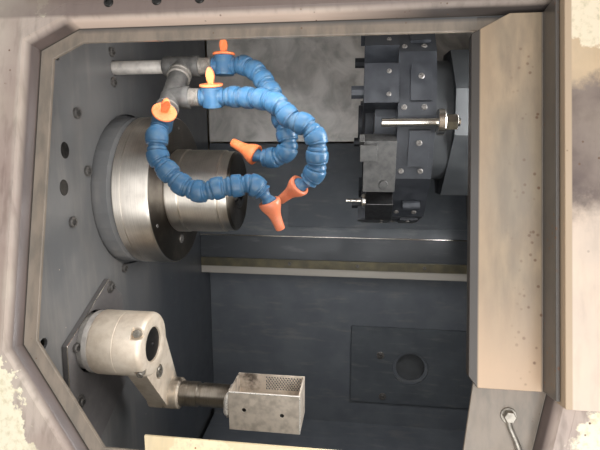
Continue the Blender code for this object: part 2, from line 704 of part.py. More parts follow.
def way_cover():
    """The fixed guard over the ways: a beam with a lip, and a steep leaf with a window for the saddle."""
    profile = [(42, BEAM_BOTTOM_Z), (LIP_Y, BEAM_BOTTOM_Z), (LIP_Y, LIP_Z), (BACK_Y, BACK_LOW_Z)]
    piece = folded_sheet(profile, WALL_X + GAP, CHAMBER_RIGHT, 3.0)
    window = box((60, 42, -10), (580, 186, 10), COVER)
    return finish(cut(piece, window), "way_cover", DARK_SHEET, 0.4, 0.3)


def saddle_cover():
    """The leaf that slides with the saddle over the fixed guard's window."""
    hole = rectangle(SADDLE_LEFT - GAP, 40, SADDLE_RIGHT + GAP, 188)
    piece = outline([rectangle(-150, 20, 705, 194), hole], 2.5, COVER, start=0.6)
    return finish(piece, "saddle_cover", DARK_SHEET, 0.35, 0.4)


def wiper_strip():
    low, high = 872.0, 889.0
    piece = box((WALL_X + 2, LIP_Y - GAP - 5, low), (560, LIP_Y - GAP, high))
    return finish(piece, "wiper_strip", (0.42, 0.37, 0.24), 0.4, 0.8)


def chute():
    """The sheet below the guard, folded at the bottom into a sloping floor over the coolant tank."""
    profile = [(-420, 470), (43, 512), (43, BEAM_BOTTOM_Z - GAP - 0.2)]
    piece = folded_sheet(profile, WALL_X + GAP, CHAMBER_RIGHT, 3.0)
    hole = rod((101, 20, 649), (101, 70, 649), 30, sides=24)
    return finish(cut(piece, hole), "chute", DARK_SHEET, 0.5, 0.2)


def access_plate():
    face = 43.0 - GAP
    piece = outline([rectangle(-23, 567, 225, 737), circle(101, 649, 37, 28)], 6, UPRIGHT, start=-face)
    return finish(piece, "access_plate", DARK_SHEET, 0.4, 0.3)


def hex_plate():
    section = [(-368, 946), (-462, 896), (-464, 835), (-421, 748), (-345, 790), (-338, 915)]
    holes = [circle(CATCHER_Y, CATCHER_Z, COLLAR_R + GAP, 28)]
    piece = outline([section, *holes], 6, ACROSS, start=WALL_X + GAP)
    return finish(piece, "hex_plate", DARK_SHEET, 0.4, 0.4)


# Parts catcher

def catcher_collar():
    """The fixed steel sleeve through the wall, in which the catcher's shaft turns."""
    inner = CATCHER_SHAFT_R + BEARING_CLEARANCE
    profile = [(COLLAR_R, HUB_LEFT - GAP), (COLLAR_R, WALL_X - WALL_THICK - 9),
               (inner, WALL_X - WALL_THICK - 9), (inner, HUB_LEFT - GAP)]
    return finish(turned_x(profile, CATCHER_Y, CATCHER_Z, 36), "catcher_collar", STEEL, 0.3, 1.0)


def catcher_arm():
    """A cast lever: the hub with its bore, the web down to a small boss and the clamp-screw notches."""
    hub = turned_x([(0, HUB_RIGHT - 20), (17.5, HUB_RIGHT - 20), (17.5, HUB_RIGHT), (HUB_R - 3, HUB_RIGHT),
                    (HUB_R, HUB_RIGHT - 3), (HUB_R, HUB_LEFT), (CATCHER_SHAFT_R, HUB_LEFT),
                    (CATCHER_SHAFT_R, WALL_X - WALL_THICK - 7), (0, WALL_X - WALL_THICK - 7)],
                   CATCHER_Y, CATCHER_Z, 28)
    web = outline([link_outline(CATCHER_Y, CATCHER_Z, HUB_R - 4, ROD_Y, ROD_Z, 20, 9)],
                  24, ACROSS, start=-275)
    boss = turned_x([(0, -238), (18, -238), (20, -240), (20, -278), (0, -278)], ROD_Y, ROD_Z, 20)
    bore = rod((HUB_RIGHT - 20, CATCHER_Y, CATCHER_Z), (HUB_RIGHT + 5, CATCHER_Y, CATCHER_Z), 17.5, sides=20)
    notches = [box((-262, -446, CATCHER_Z + 12), (-251, -430, CATCHER_Z + 26)),
               box((-262, -446, CATCHER_Z - 29), (-251, -428, CATCHER_Z - 16))]
    bolt_seat = rod((-255, -397, 852), (-245, -397, 852), 6.5, sides=16)
    piece = cut(join(hub, web, boss), bore, *notches, bolt_seat)
    return finish(pivot(piece, (0, CATCHER_Y, CATCHER_Z)), "catcher_arm", CAST_ALUMINIUM, 0.4, 0.9)


def catcher_rod():
    profile = [(0, BUCKET_LEFT - GAP), (12, BUCKET_LEFT - GAP), (12, -172), (ROD_R, -172), (ROD_R, -209),
               (ROD_R - 1, -210), (ROD_R - 1, -214), (ROD_R + 1, -215), (ROD_R + 1, -238 + GAP),
               (0, -238 + GAP)]
    piece = turned_x(profile, ROD_Y, ROD_Z, 32)
    return finish(pivot(piece, (0, CATCHER_Y, CATCHER_Z)), "catcher_rod", BLACK_OXIDE, 0.35, 0.8)


PERFORATION = 3.6              # width of a diamond hole
PERFORATION_PITCH = 6.0


def catcher_bucket():
    """The open sheet bucket, with diamond holes through its back for the coolant."""
    outer = box((BUCKET_LEFT, BUCKET_FRONT, BUCKET_BOTTOM), (BUCKET_RIGHT, BUCKET_BACK, BUCKET_TOP))
    w = BUCKET_WALL
    hollow = box((BUCKET_LEFT + w, BUCKET_FRONT + w, BUCKET_BOTTOM + w),
                 (BUCKET_RIGHT - w, BUCKET_BACK - w, BUCKET_TOP + 5))
    diamonds = []
    for row in range(6):
        for column in range(6):
            x = BUCKET_RIGHT - 10 - column * PERFORATION_PITCH - (row % 2) * PERFORATION_PITCH / 2
            z = BUCKET_TOP - 5 - row * PERFORATION_PITCH * 0.8
            diamonds.append(circle(x, z, PERFORATION / 2, 4))
    sieve = outline(diamonds, 12, UPRIGHT, start=-BUCKET_BACK - 6)
    holes = [rod((x, BUCKET_FRONT - 5, z), (x, BUCKET_FRONT + 8, z), 2.2, sides=10)
             for x, z in ((-146, 793), (-99, 789))]
    return finish(pivot(cut(outer, hollow, sieve, *holes), (0, CATCHER_Y, CATCHER_Z)),
                  "catcher_bucket", STEEL, 0.4, 1.0)


# Coolant line

LEG = Vector((0, -1, -1)).normalized()


def down_leg(distance):
    """A point on the sloping leg below the first tee."""
    return Vector((TEE_X, PIPE_Y, PIPE_Z)) + LEG * distance


TEE_TWO = down_leg(LEG_TEE)
VALVE_SEAT_X = -199.0
VALVE_POINTS = (Vector((-184.0, PIPE_Y, PIPE_Z)), Vector((-187.0, TEE_TWO.y, TEE_TWO.z)), down_leg(LEG_VALVE))
VALVE_FLOWS = (Vector((1, 0, 0)), Vector((1, 0, 0)), LEG)
VALVE_AXES = (Vector((0, 0, 1)), Vector((0, -0.25, 1)).normalized(),
              Vector((0.45, -0.63, 0.63)).normalized())
VALVE_HALF = 15.0
BARREL_R = 12.5
BARREL_HALF = 12.0


def coolant_manifold():
    """The threaded steel pipe with its two tees, one behind and above the other on a sloping leg."""
    t1 = Vector((TEE_X, PIPE_Y, PIPE_Z))
    pipe = rod((WALL_X - WALL_THICK - 5, PIPE_Y, PIPE_Z), (TEE_X, PIPE_Y, PIPE_Z), PIPE_R, sides=14)
    body = rod((TEE_X - 24, PIPE_Y, PIPE_Z), (TEE_X + 22, PIPE_Y, PIPE_Z), TEE_R, sides=14)
    fitting = rod(t1, VALVE_POINTS[0] - VALVE_FLOWS[0] * (VALVE_HALF + GAP), 10.5, sides=14)
    leg = rod(t1, down_leg(LEG_VALVE - VALVE_HALF - 6), TEE_R - 0.6, sides=14)
    tip = rod(t1, down_leg(LEG_VALVE - VALVE_HALF - GAP), 10.5, sides=14)
    branch = rod(TEE_TWO, TEE_TWO + Vector((24, 0, 0)), TEE_R, sides=14)
    thread = rod(TEE_TWO, VALVE_POINTS[1] - VALVE_FLOWS[1] * (VALVE_HALF + GAP), 10.5, sides=14)
    collar = rod(down_leg(14), down_leg(24), TEE_R + 1.5, sides=14)
    piece = join(pipe, body, fitting, leg, tip, branch, thread, collar)
    return finish(piece, "coolant_manifold", STEEL, 0.35, 1.0)


def valve_body(index):
    centre, flow, axis = VALVE_POINTS[index], VALVE_FLOWS[index], VALVE_AXES[index]
    tube = rod(centre - flow * VALVE_HALF, centre + flow * VALVE_HALF, 10.2, sides=20)
    barrel = rod(centre - axis * BARREL_HALF, centre + axis * BARREL_HALF, BARREL_R, sides=24)
    return finish(join(tube, barrel), f"valve_body_{index + 1}", BLUE, 0.4)


def valve_lever(index):
    """The quarter-turn handle: a round cap with a leaf-shaped fin standing on it."""
    centre, axis = VALVE_POINTS[index], VALVE_AXES[index]
    frame = pointing(centre + axis * (BARREL_HALF + GAP), axis)
    cap = rod((0, 0, 0), (0, 0, 3), LEVER_DISC_R, sides=24, place=frame)
    leaf = [(-3.5, 0), (3.5, 0), (5, 9), (3, 17), (0, 20), (-3, 17), (-5, 9)]
    fin = outline([[(x, z + 2) for x, z in leaf]], 4.5, frame @ UPRIGHT, start=-2.25)
    return finish(pivot(join(cap, fin), centre), f"valve_lever_{index + 1}", ORANGE, 0.4)


# Each route runs through hand-chosen points, from its valve to the centre of its last ball
HOSE_ROUTES = (
    [(-140, -320, 1201), (-126, -331, 1185), (-114, -342, 1167), (-105, -351, 1147), (-98, -356, 1128),
     (-95, -358, 1110), (-107, -353, 1099.5), (-126, -348, 1097.5), (-138, -344, 1101)],
    [(-138, -361, 1166), (-115, -373, 1162), (-100, -381, 1154), (-87, -386, 1140), (-70, -389, 1133),
     (-59, -390, 1118), (-58.5, -388, 1102), (-60, -383, 1086), (-70, -378, 1072), (-80, -375, 1067)],
    [(-235, -402, 1099), (-221, -406, 1082), (-204, -408, 1068), (-184, -408, 1062), (-165, -405, 1066),
     (-148, -401, 1068), (-131, -397, 1070), (-119, -394, 1061), (-111, -393, 1049)],
)
NOZZLE_DIRECTIONS = (Vector((-32, 8, 16)), Vector((-22, 13, -17)), Vector((6, 4, -17)))


def smooth_route(points, steps=8):
    """Points on a Catmull-Rom curve through a route."""
    p = [points[0] * 2 - points[1], *points, points[-1] * 2 - points[-2]]
    fine = []
    for a, b, c, d in zip(p, p[1:], p[2:], p[3:]):
        for i in range(steps):
            t = i / steps
            fine.append((b * 2 + (c - a) * t + (a * 2 - b * 5 + c * 4 - d) * t ** 2
                         + (b * 3 - a - c * 3 + d) * t ** 3) / 2)
    return fine + [points[-1]]


def along(route, distances):
    """Points of a fine route at given distances from its start."""
    result, travelled, index = [], 0.0, 0
    for distance in distances:
        while index < len(route) - 2 and travelled + (route[index + 1] - route[index]).length < distance:
            travelled += (route[index + 1] - route[index]).length
            index += 1
        step = route[index + 1] - route[index]
        result.append(route[index] + step * ((distance - travelled) / step.length))
    return result


def hose_route(index):
    start = VALVE_POINTS[index] + VALVE_FLOWS[index] * (VALVE_HALF + GAP)
    lead = start + VALVE_FLOWS[index] * 10
    return [start] + smooth_route([lead, *[Vector(point) for point in HOSE_ROUTES[index]]])


BEAD_SHAPE = ((0.0, 0.72), (0.16, 0.94), (0.5, 1.0), (0.84, 0.84))   # share of a bead, share of its radius
BALL_SHAPE = ((-13.5, 0.86), (-10.8, 0.52), (-7.2, 0.455), (-5.6, 0.51), (-2.8, 0.65), (0.0, 0.685),
              (3.0, 0.64), (5.8, 0.51), (7.6, 0.33))                  # distance past the ball's centre


def hose(index):
    """Ball-and-socket segments in a chain: a tube whose radius swells and narrows at each one."""
    route = hose_route(index)
    length = sum((b - a).length for a, b in zip(route, route[1:]))
    beads = round((length - 16) / BEAD_PITCH)
    pitch = (length - 16) / beads
    stations = [(pitch * (i + share), BEAD_R * swell) for i in range(beads) for share, swell in BEAD_SHAPE]
    stations += [(length + distance, BEAD_R * swell) for distance, swell in BALL_SHAPE]
    tail = (route[-1] - route[-2]).normalized()
    points = along(route + [route[-1] + tail * 12], [distance for distance, swell in stations])
    curve = bpy.data.curves.new("hose", "CURVE")
    curve.dimensions = "3D"
    curve.bevel_depth = MM
    curve.bevel_resolution = 2
    curve.use_fill_caps = True
    spline = curve.splines.new("POLY")
    spline.points.add(len(points) - 1)
    for point, place, (distance, radius) in zip(spline.points, points, stations):
        point.co = (*(place * MM), 1.0)
        point.radius = radius
    piece = bpy.data.objects.new("hose", curve)
    PARTS.objects.link(piece)
    return finish(evaluated(piece), f"hose_{index + 1}", BLUE, 0.4)


def nozzle(index):
    """A cone nozzle whose cup holds the hose's last ball, so it tilts about the ball's centre."""
    centre = hose_route(index)[-1]
    direction = NOZZLE_DIRECTIONS[index].normalized()
    cavity = [((BALL_R + 0.7) * math.cos(math.radians(a)), (BALL_R + 0.7) * math.sin(math.radians(a)))
              for a in (-14, 18, 48, 76)]
    outer = [(3.0, NOZZLE_LENGTH), (5.5, NOZZLE_LENGTH), (7.0, 16), (11.5, 6), (BEAD_R, -1), (BEAD_R - 1, -2.3)]
    bore = [(3.0, cavity[-1][1] + 0.4)]
    profile = outer + cavity + bore
    piece = turned(profile, pointing(centre, direction), 16)
    return finish(pivot(piece, centre), f"nozzle_{index + 1}", ORANGE, 0.45)


# Enclosure

def opening_ring():
    """The door opening in the slanted front, anticlockwise, with its cut corners."""
    return [(-248, OPENING_BOTTOM), (128, OPENING_BOTTOM), (FLANGE_RIGHT, -150),
            (FLANGE_RIGHT, OPENING_TOP), (-288, OPENING_TOP), (OPENING_LEFT, 150), (OPENING_LEFT, -140)]


def front_cover():
    """The slanted cover, the return and lip round its opening, the recessed flange and the door's rail."""
    ring = opening_ring()
    face = PANEL_FORWARD - SHEET
    edge = rectangle(COVER_LEFT + GAP, -262, COVER_RIGHT - GAP, 500)
    plate = outline([edge, inset(ring, 1.5)], SHEET, FRONT, start=face)
    rim = outline([ring, inset(ring, SHEET)], RETURN_DEPTH - 1, FRONT, start=PANEL_FORWARD - RETURN_DEPTH)
    lip = outline([inset(ring, 0.5), inset(ring, LIP_WIDTH)], SHEET, FRONT, start=PANEL_FORWARD - RETURN_DEPTH)
    flange = outline([[(FLANGE_LEFT - 8, OPENING_BOTTOM + 1), (127, OPENING_BOTTOM + 1),
                       (FLANGE_RIGHT - 1, -150), (FLANGE_RIGHT - 1, OPENING_TOP - 1),
                       (FLANGE_LEFT, OPENING_TOP - 1), (FLANGE_LEFT, -145), (FLANGE_LEFT - 8, -205)]],
                     SHEET, FRONT, start=-SHEET)
    rail = box((OPENING_LEFT - 10, TRACK_TOP - 8, face + 1), (COVER_RIGHT - 5, TRACK_TOP, 37), FRONT)
    latch = rod((116, -174, -1), (116, -174, 7), 7, sides=16, place=FRONT)
    return finish(join(plate, rim, lip, flange, rail, latch), "front_cover", CREAM, 0.45)


def sill_strip():
    low = OPENING_BOTTOM + SHEET + GAP
    piece = outline([[(-199, low), (FLANGE_LEFT - 8 - GAP, low), (FLANGE_LEFT - 8 - GAP, -214.5),
                      (-202, -214.5)]], SHEET, FRONT, start=-SHEET)
    return finish(piece, "sill_strip", CREAM, 0.5)


def lower_front_cover():
    corner, inner = (on_front(0, -262 - 2 * GAP, forward) for forward in (PANEL_FORWARD, -2))
    profile = [(COVER_FRONT, 345), (COVER_FRONT, corner[2] - 30), corner[1:], inner[1:]]
    piece = folded_sheet(profile, COVER_LEFT + GAP, COVER_RIGHT - GAP, SHEET)
    return finish(piece, "lower_front_cover", CREAM, 0.45)


def end_section():
    """The machine's outline seen from the end, anticlockwise in YZ."""
    low, high = (on_front(0, w, PANEL_FORWARD) for w in (-262, 565))
    return [(COVER_FRONT, 60), (COVER_BACK, 60), (COVER_BACK, HEIGHT - 40), (COVER_BACK - 40, HEIGHT),
            (high[1] + 46, HEIGHT), high[1:], low[1:], (COVER_FRONT, low[2] - 30)]


def end_cover(name, closed_x, open_x):
    """A pan-shaped end cover, closed at the machine's end and open below and towards its middle."""
    low, high = sorted((closed_x, open_x))
    section = end_section()
    inner = inset(section, SHEET)
    inner = [(y, z if z > 70 else 40) for y, z in inner]
    shell = outline([section], high - low, ACROSS, start=low)
    start = low + SHEET if closed_x < open_x else low - 5
    hollow = outline([inner], high - low - SHEET + 5, ACROSS, start=start)
    bar_hole = rod((low - 5, SPINDLE_Y, SPINDLE_Z), (low + 10, SPINDLE_Y, SPINDLE_Z), 45, sides=28)
    return finish(cut(shell, hollow, bar_hole), name, CREAM, 0.45)


def roof_cover():
    section = end_section()
    profile = [(COVER_BACK - SHEET, HEIGHT - 65), *section[2:6]]
    profile.append(on_front(0, 500 + GAP, PANEL_FORWARD)[1:])
    piece = folded_sheet(profile[::-1], COVER_LEFT + GAP, COVER_RIGHT - GAP, SHEET)
    return finish(piece, "roof_cover", CREAM, 0.5)


CABINET_LEFT = -350.0
CABINET_RIGHT = 500.0
CABINET_BOTTOM = 400.0
CABINET_TOP = 1450.0


def electrical_cabinet():
    """The rear panel with the cabinet's tub set into it, and the drive units on the tub's back plate."""
    hole = rectangle(CABINET_LEFT - 1, CABINET_BOTTOM - 1, CABINET_RIGHT + 1, CABINET_TOP + 1)
    edge = rectangle(COVER_LEFT + GAP, 60, COVER_RIGHT - GAP, HEIGHT - 66)
    panel = outline([edge, hole], SHEET, UPRIGHT, start=-COVER_BACK)
    tub = box((CABINET_LEFT - SHEET, CABINET_FRONT - SHEET, CABINET_BOTTOM - SHEET),
              (CABINET_RIGHT + SHEET, COVER_BACK, CABINET_TOP + SHEET))
    hollow = box((CABINET_LEFT, CABINET_FRONT, CABINET_BOTTOM), (CABINET_RIGHT, COVER_BACK + 10, CABINET_TOP))
    units = [box((CABINET_LEFT + 60 + 150 * i, CABINET_FRONT - 1, 1000),
                 (CABINET_LEFT + 180 + 150 * i, CABINET_FRONT + CABINET_DEPTH * 0.7, 1330)) for i in range(5)]
    rail = box((CABINET_LEFT + 60, CABINET_FRONT - 1, 700), (CABINET_RIGHT - 60, CABINET_FRONT + CABINET_DEPTH * 0.3, 735))
    contactors = [box((CABINET_LEFT + 80 + 110 * i, CABINET_FRONT + 1, 670),
                      (CABINET_LEFT + 160 + 110 * i, CABINET_FRONT + CABINET_DEPTH * 0.6, 765)) for i in range(6)]
    piece = join(cut(join(panel, tub), hollow), *units, rail, *contactors)
    return finish(piece, "electrical_cabinet", CREAM, 0.5)


HINGE_X = CABINET_RIGHT + 12
HINGE_Y = COVER_BACK + 8


def cabinet_door():
    """The rear door: a pan with its rim turned in, hinge knuckles and a latch."""
    left, right = CABINET_LEFT - 8, CABINET_RIGHT + 8
    low, high = CABINET_BOTTOM - 8, CABINET_TOP + 8
    pan = box((left, COVER_BACK + GAP, low), (right, COVER_BACK + 16, high))
    hollow = box((left + SHEET, COVER_BACK - 10, low + SHEET), (right - SHEET, COVER_BACK + 16 - SHEET, high - SHEET))
    knuckles = [rod((HINGE_X, HINGE_Y, z), (HINGE_X, HINGE_Y, z + 60), 6, sides=12) for z in (low + 108, high - 168)]
    latch = box((left + 25, COVER_BACK + 12, 900), (left + 50, REAR_EDGE, 980))
    piece = join(cut(pan, hollow), *knuckles, latch)
    return finish(pivot(piece, (HINGE_X, HINGE_Y, 900)), "cabinet_door", CREAM, 0.5)


TANK_LEFT = -318.0
TANK_RIGHT = 695.0
TANK_FRONT = COVER_FRONT + 10.0
TANK_BACK = -195.0 - GAP
TANK_TOP = 332.0


def coolant_tank():
    """The open tank that slides in under the chute, on two skids, with a pull handle in front."""
    wall = 4.0
    body = box((TANK_LEFT, TANK_FRONT, 12), (TANK_RIGHT, TANK_BACK, TANK_TOP))
    hollow = box((TANK_LEFT + wall, TANK_FRONT + wall, 12 + wall), (TANK_RIGHT - wall, TANK_BACK - wall, 340))
    skids = [box((x, TANK_FRONT + 20, 0), (x + 60, TANK_BACK - 20, 14)) for x in (TANK_LEFT + 40, TANK_RIGHT - 100)]
    recess = box((120, TANK_FRONT - 5, 230), (260, TANK_FRONT + 2, 262))
    return finish(cut(join(cut(body, hollow), *skids), recess), "coolant_tank", DARK_PAINT, 0.55)


# Door

WINDOW = (262.0, -80.0, 580.0, 130.0)


def door_panel():
    """The sliding door: a pan with a window hole and a top flange that hangs on the rail."""
    back = DOOR_FORWARD - DOOR_DEPTH
    edge = rectangle(DOOR_LEFT, DOOR_BOTTOM, DOOR_RIGHT, DOOR_TOP)
    face = outline([edge, rectangle(*WINDOW)], SHEET, FRONT, start=DOOR_FORWARD - SHEET)
    rim_ring = rectangle(DOOR_LEFT, DOOR_BOTTOM, DOOR_RIGHT, TRACK_TOP - 12)
    rim = outline([rim_ring, inset(rim_ring, SHEET)], DOOR_DEPTH - 1, FRONT, start=back)
    frame_ring = inset(rectangle(*WINDOW), -12)
    frame = outline([frame_ring, rectangle(*WINDOW)], 8, FRONT, start=DOOR_FORWARD - 9)
    hook = box((DOOR_LEFT, TRACK_TOP + GAP, back + 2), (DOOR_RIGHT, TRACK_TOP + 4, DOOR_FORWARD - 1), FRONT)
    return finish(join(face, rim, frame, hook), "door_panel", CREAM, 0.45)


def door_window():
    left, low, right, high = WINDOW
    piece = outline([rectangle(left - 11, low - 11, right + 11, high + 11)], 6, FRONT,
                    start=DOOR_FORWARD - 9 - GAP - 6)
    return finish(piece, "door_window", (0.55, 0.62, 0.60), 0.1)


def door_post():
    """The door's leading channel, recessed behind the front cover, and its return beside the panel."""
    back = POST_FORWARD - POST_DEPTH
    low, high = -150.0, OPENING_TOP - SHEET - 4
    ring = [(POST_LEFT, low + 9), (POST_LEFT + 7, low), (POST_RIGHT, low), (POST_RIGHT, high),
            (POST_LEFT + 31, high), (POST_LEFT, high - 17)]
    channel = outline([ring], POST_DEPTH, FRONT, start=back)
    hollow = outline([inset(ring, 2)], POST_DEPTH, FRONT, start=back - 2)
    web = box((POST_RIGHT - 2, low, back), (DOOR_LEFT - GAP, high, DOOR_FORWARD - 8), FRONT)
    return finish(join(cut(channel, hollow), web), "door_post", (0.62, 0.52, 0.40), 0.5)


def door_handle():
    """A bar handle: one tube bent back to the panel at each end."""
    x, reach = 216.0, DOOR_FORWARD + 38
    lower, upper = arc(-58, reach - 12, 12, 270, 180, 4), arc(58, reach - 12, 12, 0, 90, 4)
    route = ([(-70, DOOR_FORWARD + GAP)] + arc(-58, reach - 12, 12, 180, 90, 4)
             + arc(58, reach - 12, 12, 90, 0, 4) + [(70, DOOR_FORWARD + GAP)])
    curve = bpy.data.curves.new("handle", "CURVE")
    curve.dimensions = "3D"
    curve.bevel_depth = 9 * MM
    curve.bevel_resolution = 2
    curve.use_fill_caps = True
    spline = curve.splines.new("POLY")
    spline.points.add(len(route) - 1)
    for point, (w, forward) in zip(spline.points, route):
        point.co = (*(FRONT @ (Vector((x, w, forward)) * MM)), 1.0)
    piece = bpy.data.objects.new("handle", curve)
    PARTS.objects.link(piece)
    return finish(evaluated(piece), "door_handle", BLACK_OXIDE, 0.5)


# Control panel

PANEL_Y = FRONT_EDGE + 22.0
BUTTON_X = COVER_RIGHT + 150.0
BUTTON_Z = 1080.0


def control_panel():
    """The fixed pendant on the right of the front, with a recessed screen and a key area."""
    lean = math.tan(math.radians(FRONT_LEAN))
    clear = (PANEL_FORWARD + GAP) / math.cos(math.radians(FRONT_LEAN))

    def seat(z):
        return FRONT_Y - clear + (z - FRONT_Z) * lean
    section = [(PANEL_Y, 1000), (seat(1000), 1000), (seat(1400), 1400), (-560, 1400), (PANEL_Y, 1330)]
    body = outline([section], 172, ACROSS, start=COVER_RIGHT + 14)
    left, right = COVER_RIGHT + 32, COVER_RIGHT + 168
    screen = box((left, PANEL_Y - 5, 1190), (right, PANEL_Y + 3, 1300))
    keys = box((left, PANEL_Y - 5, 1110), (right, PANEL_Y + 1.5, 1175))
    socket = rod((BUTTON_X, PANEL_Y - 5, BUTTON_Z), (BUTTON_X, PANEL_Y + 20, BUTTON_Z), 8.6, sides=20)
    return finish(cut(body, screen, keys, socket), "control_panel", DARK_PAINT, 0.5)


def emergency_button():
    top = -FRONT_EDGE
    profile = [(0, top), (12, top), (17, top - 4), (17, top - 13), (8, top - 14),
               (8, -PANEL_Y - 13), (0, -PANEL_Y - 13)]
    place = shift(BUTTON_X, 0, BUTTON_Z) @ Matrix.Rotation(math.radians(90), 4, "X")
    return finish(turned(profile, place, 24), "emergency_button", (0.75, 0.08, 0.06), 0.35)


def build():
    clear_scene()
    bed_casting()
    headstock_casting()
    spindle_cartridge()
    spindle()
    collet_chuck()
    collet()
    spindle_pulley()
    motor_pulley()
    drive_belt()
    spindle_motor()
    way_rail("way_rail_lower", RAIL_LOW_S)
    way_rail("way_rail_upper", RAIL_HIGH_S)
    saddle()
    saddle_cover()
    z_ball_screw()
    cross_slide()
    x_ball_screw()
    turret_disc()
    turning_tool()
    drill_holder()
    boring_bar()
    left_wall_plate()
    back_panel()
    way_cover()
    wiper_strip()
    chute()
    access_plate()
    hex_plate()
    catcher_collar()
    catcher_arm()
    catcher_rod()
    catcher_bucket()
    coolant_manifold()
    for index in range(3):
        valve_body(index)
        valve_lever(index)
        hose(index)
        nozzle(index)
    front_cover()
    sill_strip()
    lower_front_cover()
    end_cover("left_end_cover", -WIDTH / 2, COVER_LEFT)
    end_cover("right_end_cover", WIDTH / 2, COVER_RIGHT)
    roof_cover()
    electrical_cabinet()
    cabinet_door()
    coolant_tank()
    door_panel()
    door_post()
    door_window()
    door_handle()
    control_panel()
    emergency_button()


build()
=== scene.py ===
# %% [markdown]
# # A slant-bed turning lathe, seen through its open door
#
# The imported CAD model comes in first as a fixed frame. Every piece made below is fitted to it, so a piece goes
# where the CAD says. Sizes in this file are millimetres in the machine's own axes: +X from the headstock to the
# turret, +Y to the back, +Z up, with the floor at Z = 0.

# %% Load the frame
import json
import math

import bmesh
import bpy
import numpy as np
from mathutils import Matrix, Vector


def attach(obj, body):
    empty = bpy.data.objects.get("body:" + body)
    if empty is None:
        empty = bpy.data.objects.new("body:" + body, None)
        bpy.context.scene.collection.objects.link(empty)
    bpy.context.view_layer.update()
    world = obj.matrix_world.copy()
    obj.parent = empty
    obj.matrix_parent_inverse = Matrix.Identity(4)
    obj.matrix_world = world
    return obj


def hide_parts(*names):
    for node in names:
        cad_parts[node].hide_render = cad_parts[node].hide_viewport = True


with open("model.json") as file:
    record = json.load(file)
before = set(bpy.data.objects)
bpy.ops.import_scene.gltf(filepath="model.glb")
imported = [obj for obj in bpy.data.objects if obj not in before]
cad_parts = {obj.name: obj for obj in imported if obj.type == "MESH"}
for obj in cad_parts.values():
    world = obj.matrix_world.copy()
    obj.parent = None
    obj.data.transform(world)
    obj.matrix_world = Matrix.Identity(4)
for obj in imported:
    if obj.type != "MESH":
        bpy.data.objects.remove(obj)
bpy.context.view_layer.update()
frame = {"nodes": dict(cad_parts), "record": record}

MM = 0.001


def placed(name, data):
    """A new object in the scene, at the origin."""
    item = bpy.data.objects.new(name, data)
    bpy.context.scene.collection.objects.link(item)
    return item


slot_of = {part["node"]: part["material_slot"] for part in frame["record"]["subparts"]}
body_of = {node: body for body, nodes in frame["record"]["behaviour"]["bodies"].items() for node in nodes}

# %% [markdown]
# ## Camera
#
# The photographer stands in front of the door, a forearm's length from it, looks slightly down and a little to
# the left, and uses a wide lens. The camera is placed by its three distances and two angles, and not by a helper,
# so that the frame is the photograph's.

# %% Camera
YAW, PITCH = math.radians(7.4), math.radians(9.7)
lens = bpy.data.cameras.new("photographer")
lens.sensor_fit, lens.sensor_width, lens.lens = "HORIZONTAL", 36.0, 28.2
camera = placed("photographer", lens)
camera.location = (-0.010, -0.907, 1.113)
camera.rotation_euler = (math.pi / 2 - PITCH, 0.0, YAW)
bpy.context.scene.camera = camera
print("camera looks", round(math.degrees(YAW), 1), "degrees left and", round(math.degrees(PITCH), 1), "down")

# %% [markdown]
# ## Light and floor
#
# A workshop gives soft light from all round, and it reaches the chamber mainly through the door. The world is a
# pale sky at a plain level. Two soft lamps stand in front of the door, where a person would hold a light, because
# the chamber is a deep box. One stands inside it, where the door's glass lets light in, and two small ones lift
# its deepest corners. The last one is the room's ceiling light. Camera and transmission rays see a white
# background, so that it is plain from every side.

# %% World, lamps and floor
def linear(colour):
    """An sRGB hex colour as linear light: each channel has its display curve taken off."""
    values = np.array([int(colour[i:i + 2], 16) for i in (1, 3, 5)]) / 255
    values = np.where(values > 0.04045, ((values + 0.055) / 1.055) ** 2.4, values / 12.92)
    return (*map(float, values), 1.0)


def add(tree, kind, inputs=None, **settings):
    """Add one node, set its settings, and give each named input a link, a colour or a number."""
    node = tree.nodes.new("ShaderNode" + kind)
    for name, value in settings.items():
        setattr(node, name, value)
    for key, value in (inputs or {}).items():
        if isinstance(value, bpy.types.NodeSocket):
            tree.links.new(value, node.inputs[key])
        else:
            node.inputs[key].default_value = linear(value) if isinstance(value, str) else value
    return node


SKY_LEVEL = 0.50
LAMPS = (  # name, place and target in metres, width, height, watts, shows in metal
    ("door_light", (0.20, -1.75, 1.15), (-0.08, -0.3, 1.0), 1.5, 1.2, 12.0, True),
    ("window_light", (0.20, -0.365, 1.12), (-0.26, -0.28, 1.03), 0.12, 0.24, 1.5, True),
    ("low_light", (0.05, -1.10, 0.70), (-0.25, -0.4, 0.95), 0.60, 0.20, 2.1, True),
    ("chamber_fill", (-0.05, -0.43, 1.195), (0.0, 0.0, 0.85), 0.36, 0.06, 0.9, False),
    ("sill_fill", (0.06, -0.48, 0.93), (-0.05, -0.25, 0.72), 0.14, 0.10, 0.6, False),
    ("room_light", (-2.2, -2.8, 3.4), (0.0, 0.0, 0.9), 2.2, 2.2, 8.0, True))
world = bpy.data.worlds.new("workshop")
world.use_nodes = True
bpy.context.scene.world = world
sky = world.node_tree
sky.nodes.clear()
rays = add(sky, "LightPath")
light_sky = add(sky, "Background", {"Color": "#F2F4F8", "Strength": SKY_LEVEL})
seen_sky = add(sky, "Background", {"Color": "#F4F4F2", "Strength": 1.0})
seen = add(sky, "Math", {0: rays.outputs["Is Camera Ray"], 1: rays.outputs["Is Transmission Ray"]},
           operation="MAXIMUM")
both = add(sky, "MixShader", {0: seen.outputs[0], 1: light_sky.outputs[0], 2: seen_sky.outputs[0]})
add(sky, "OutputWorld", {0: both.outputs[0]})

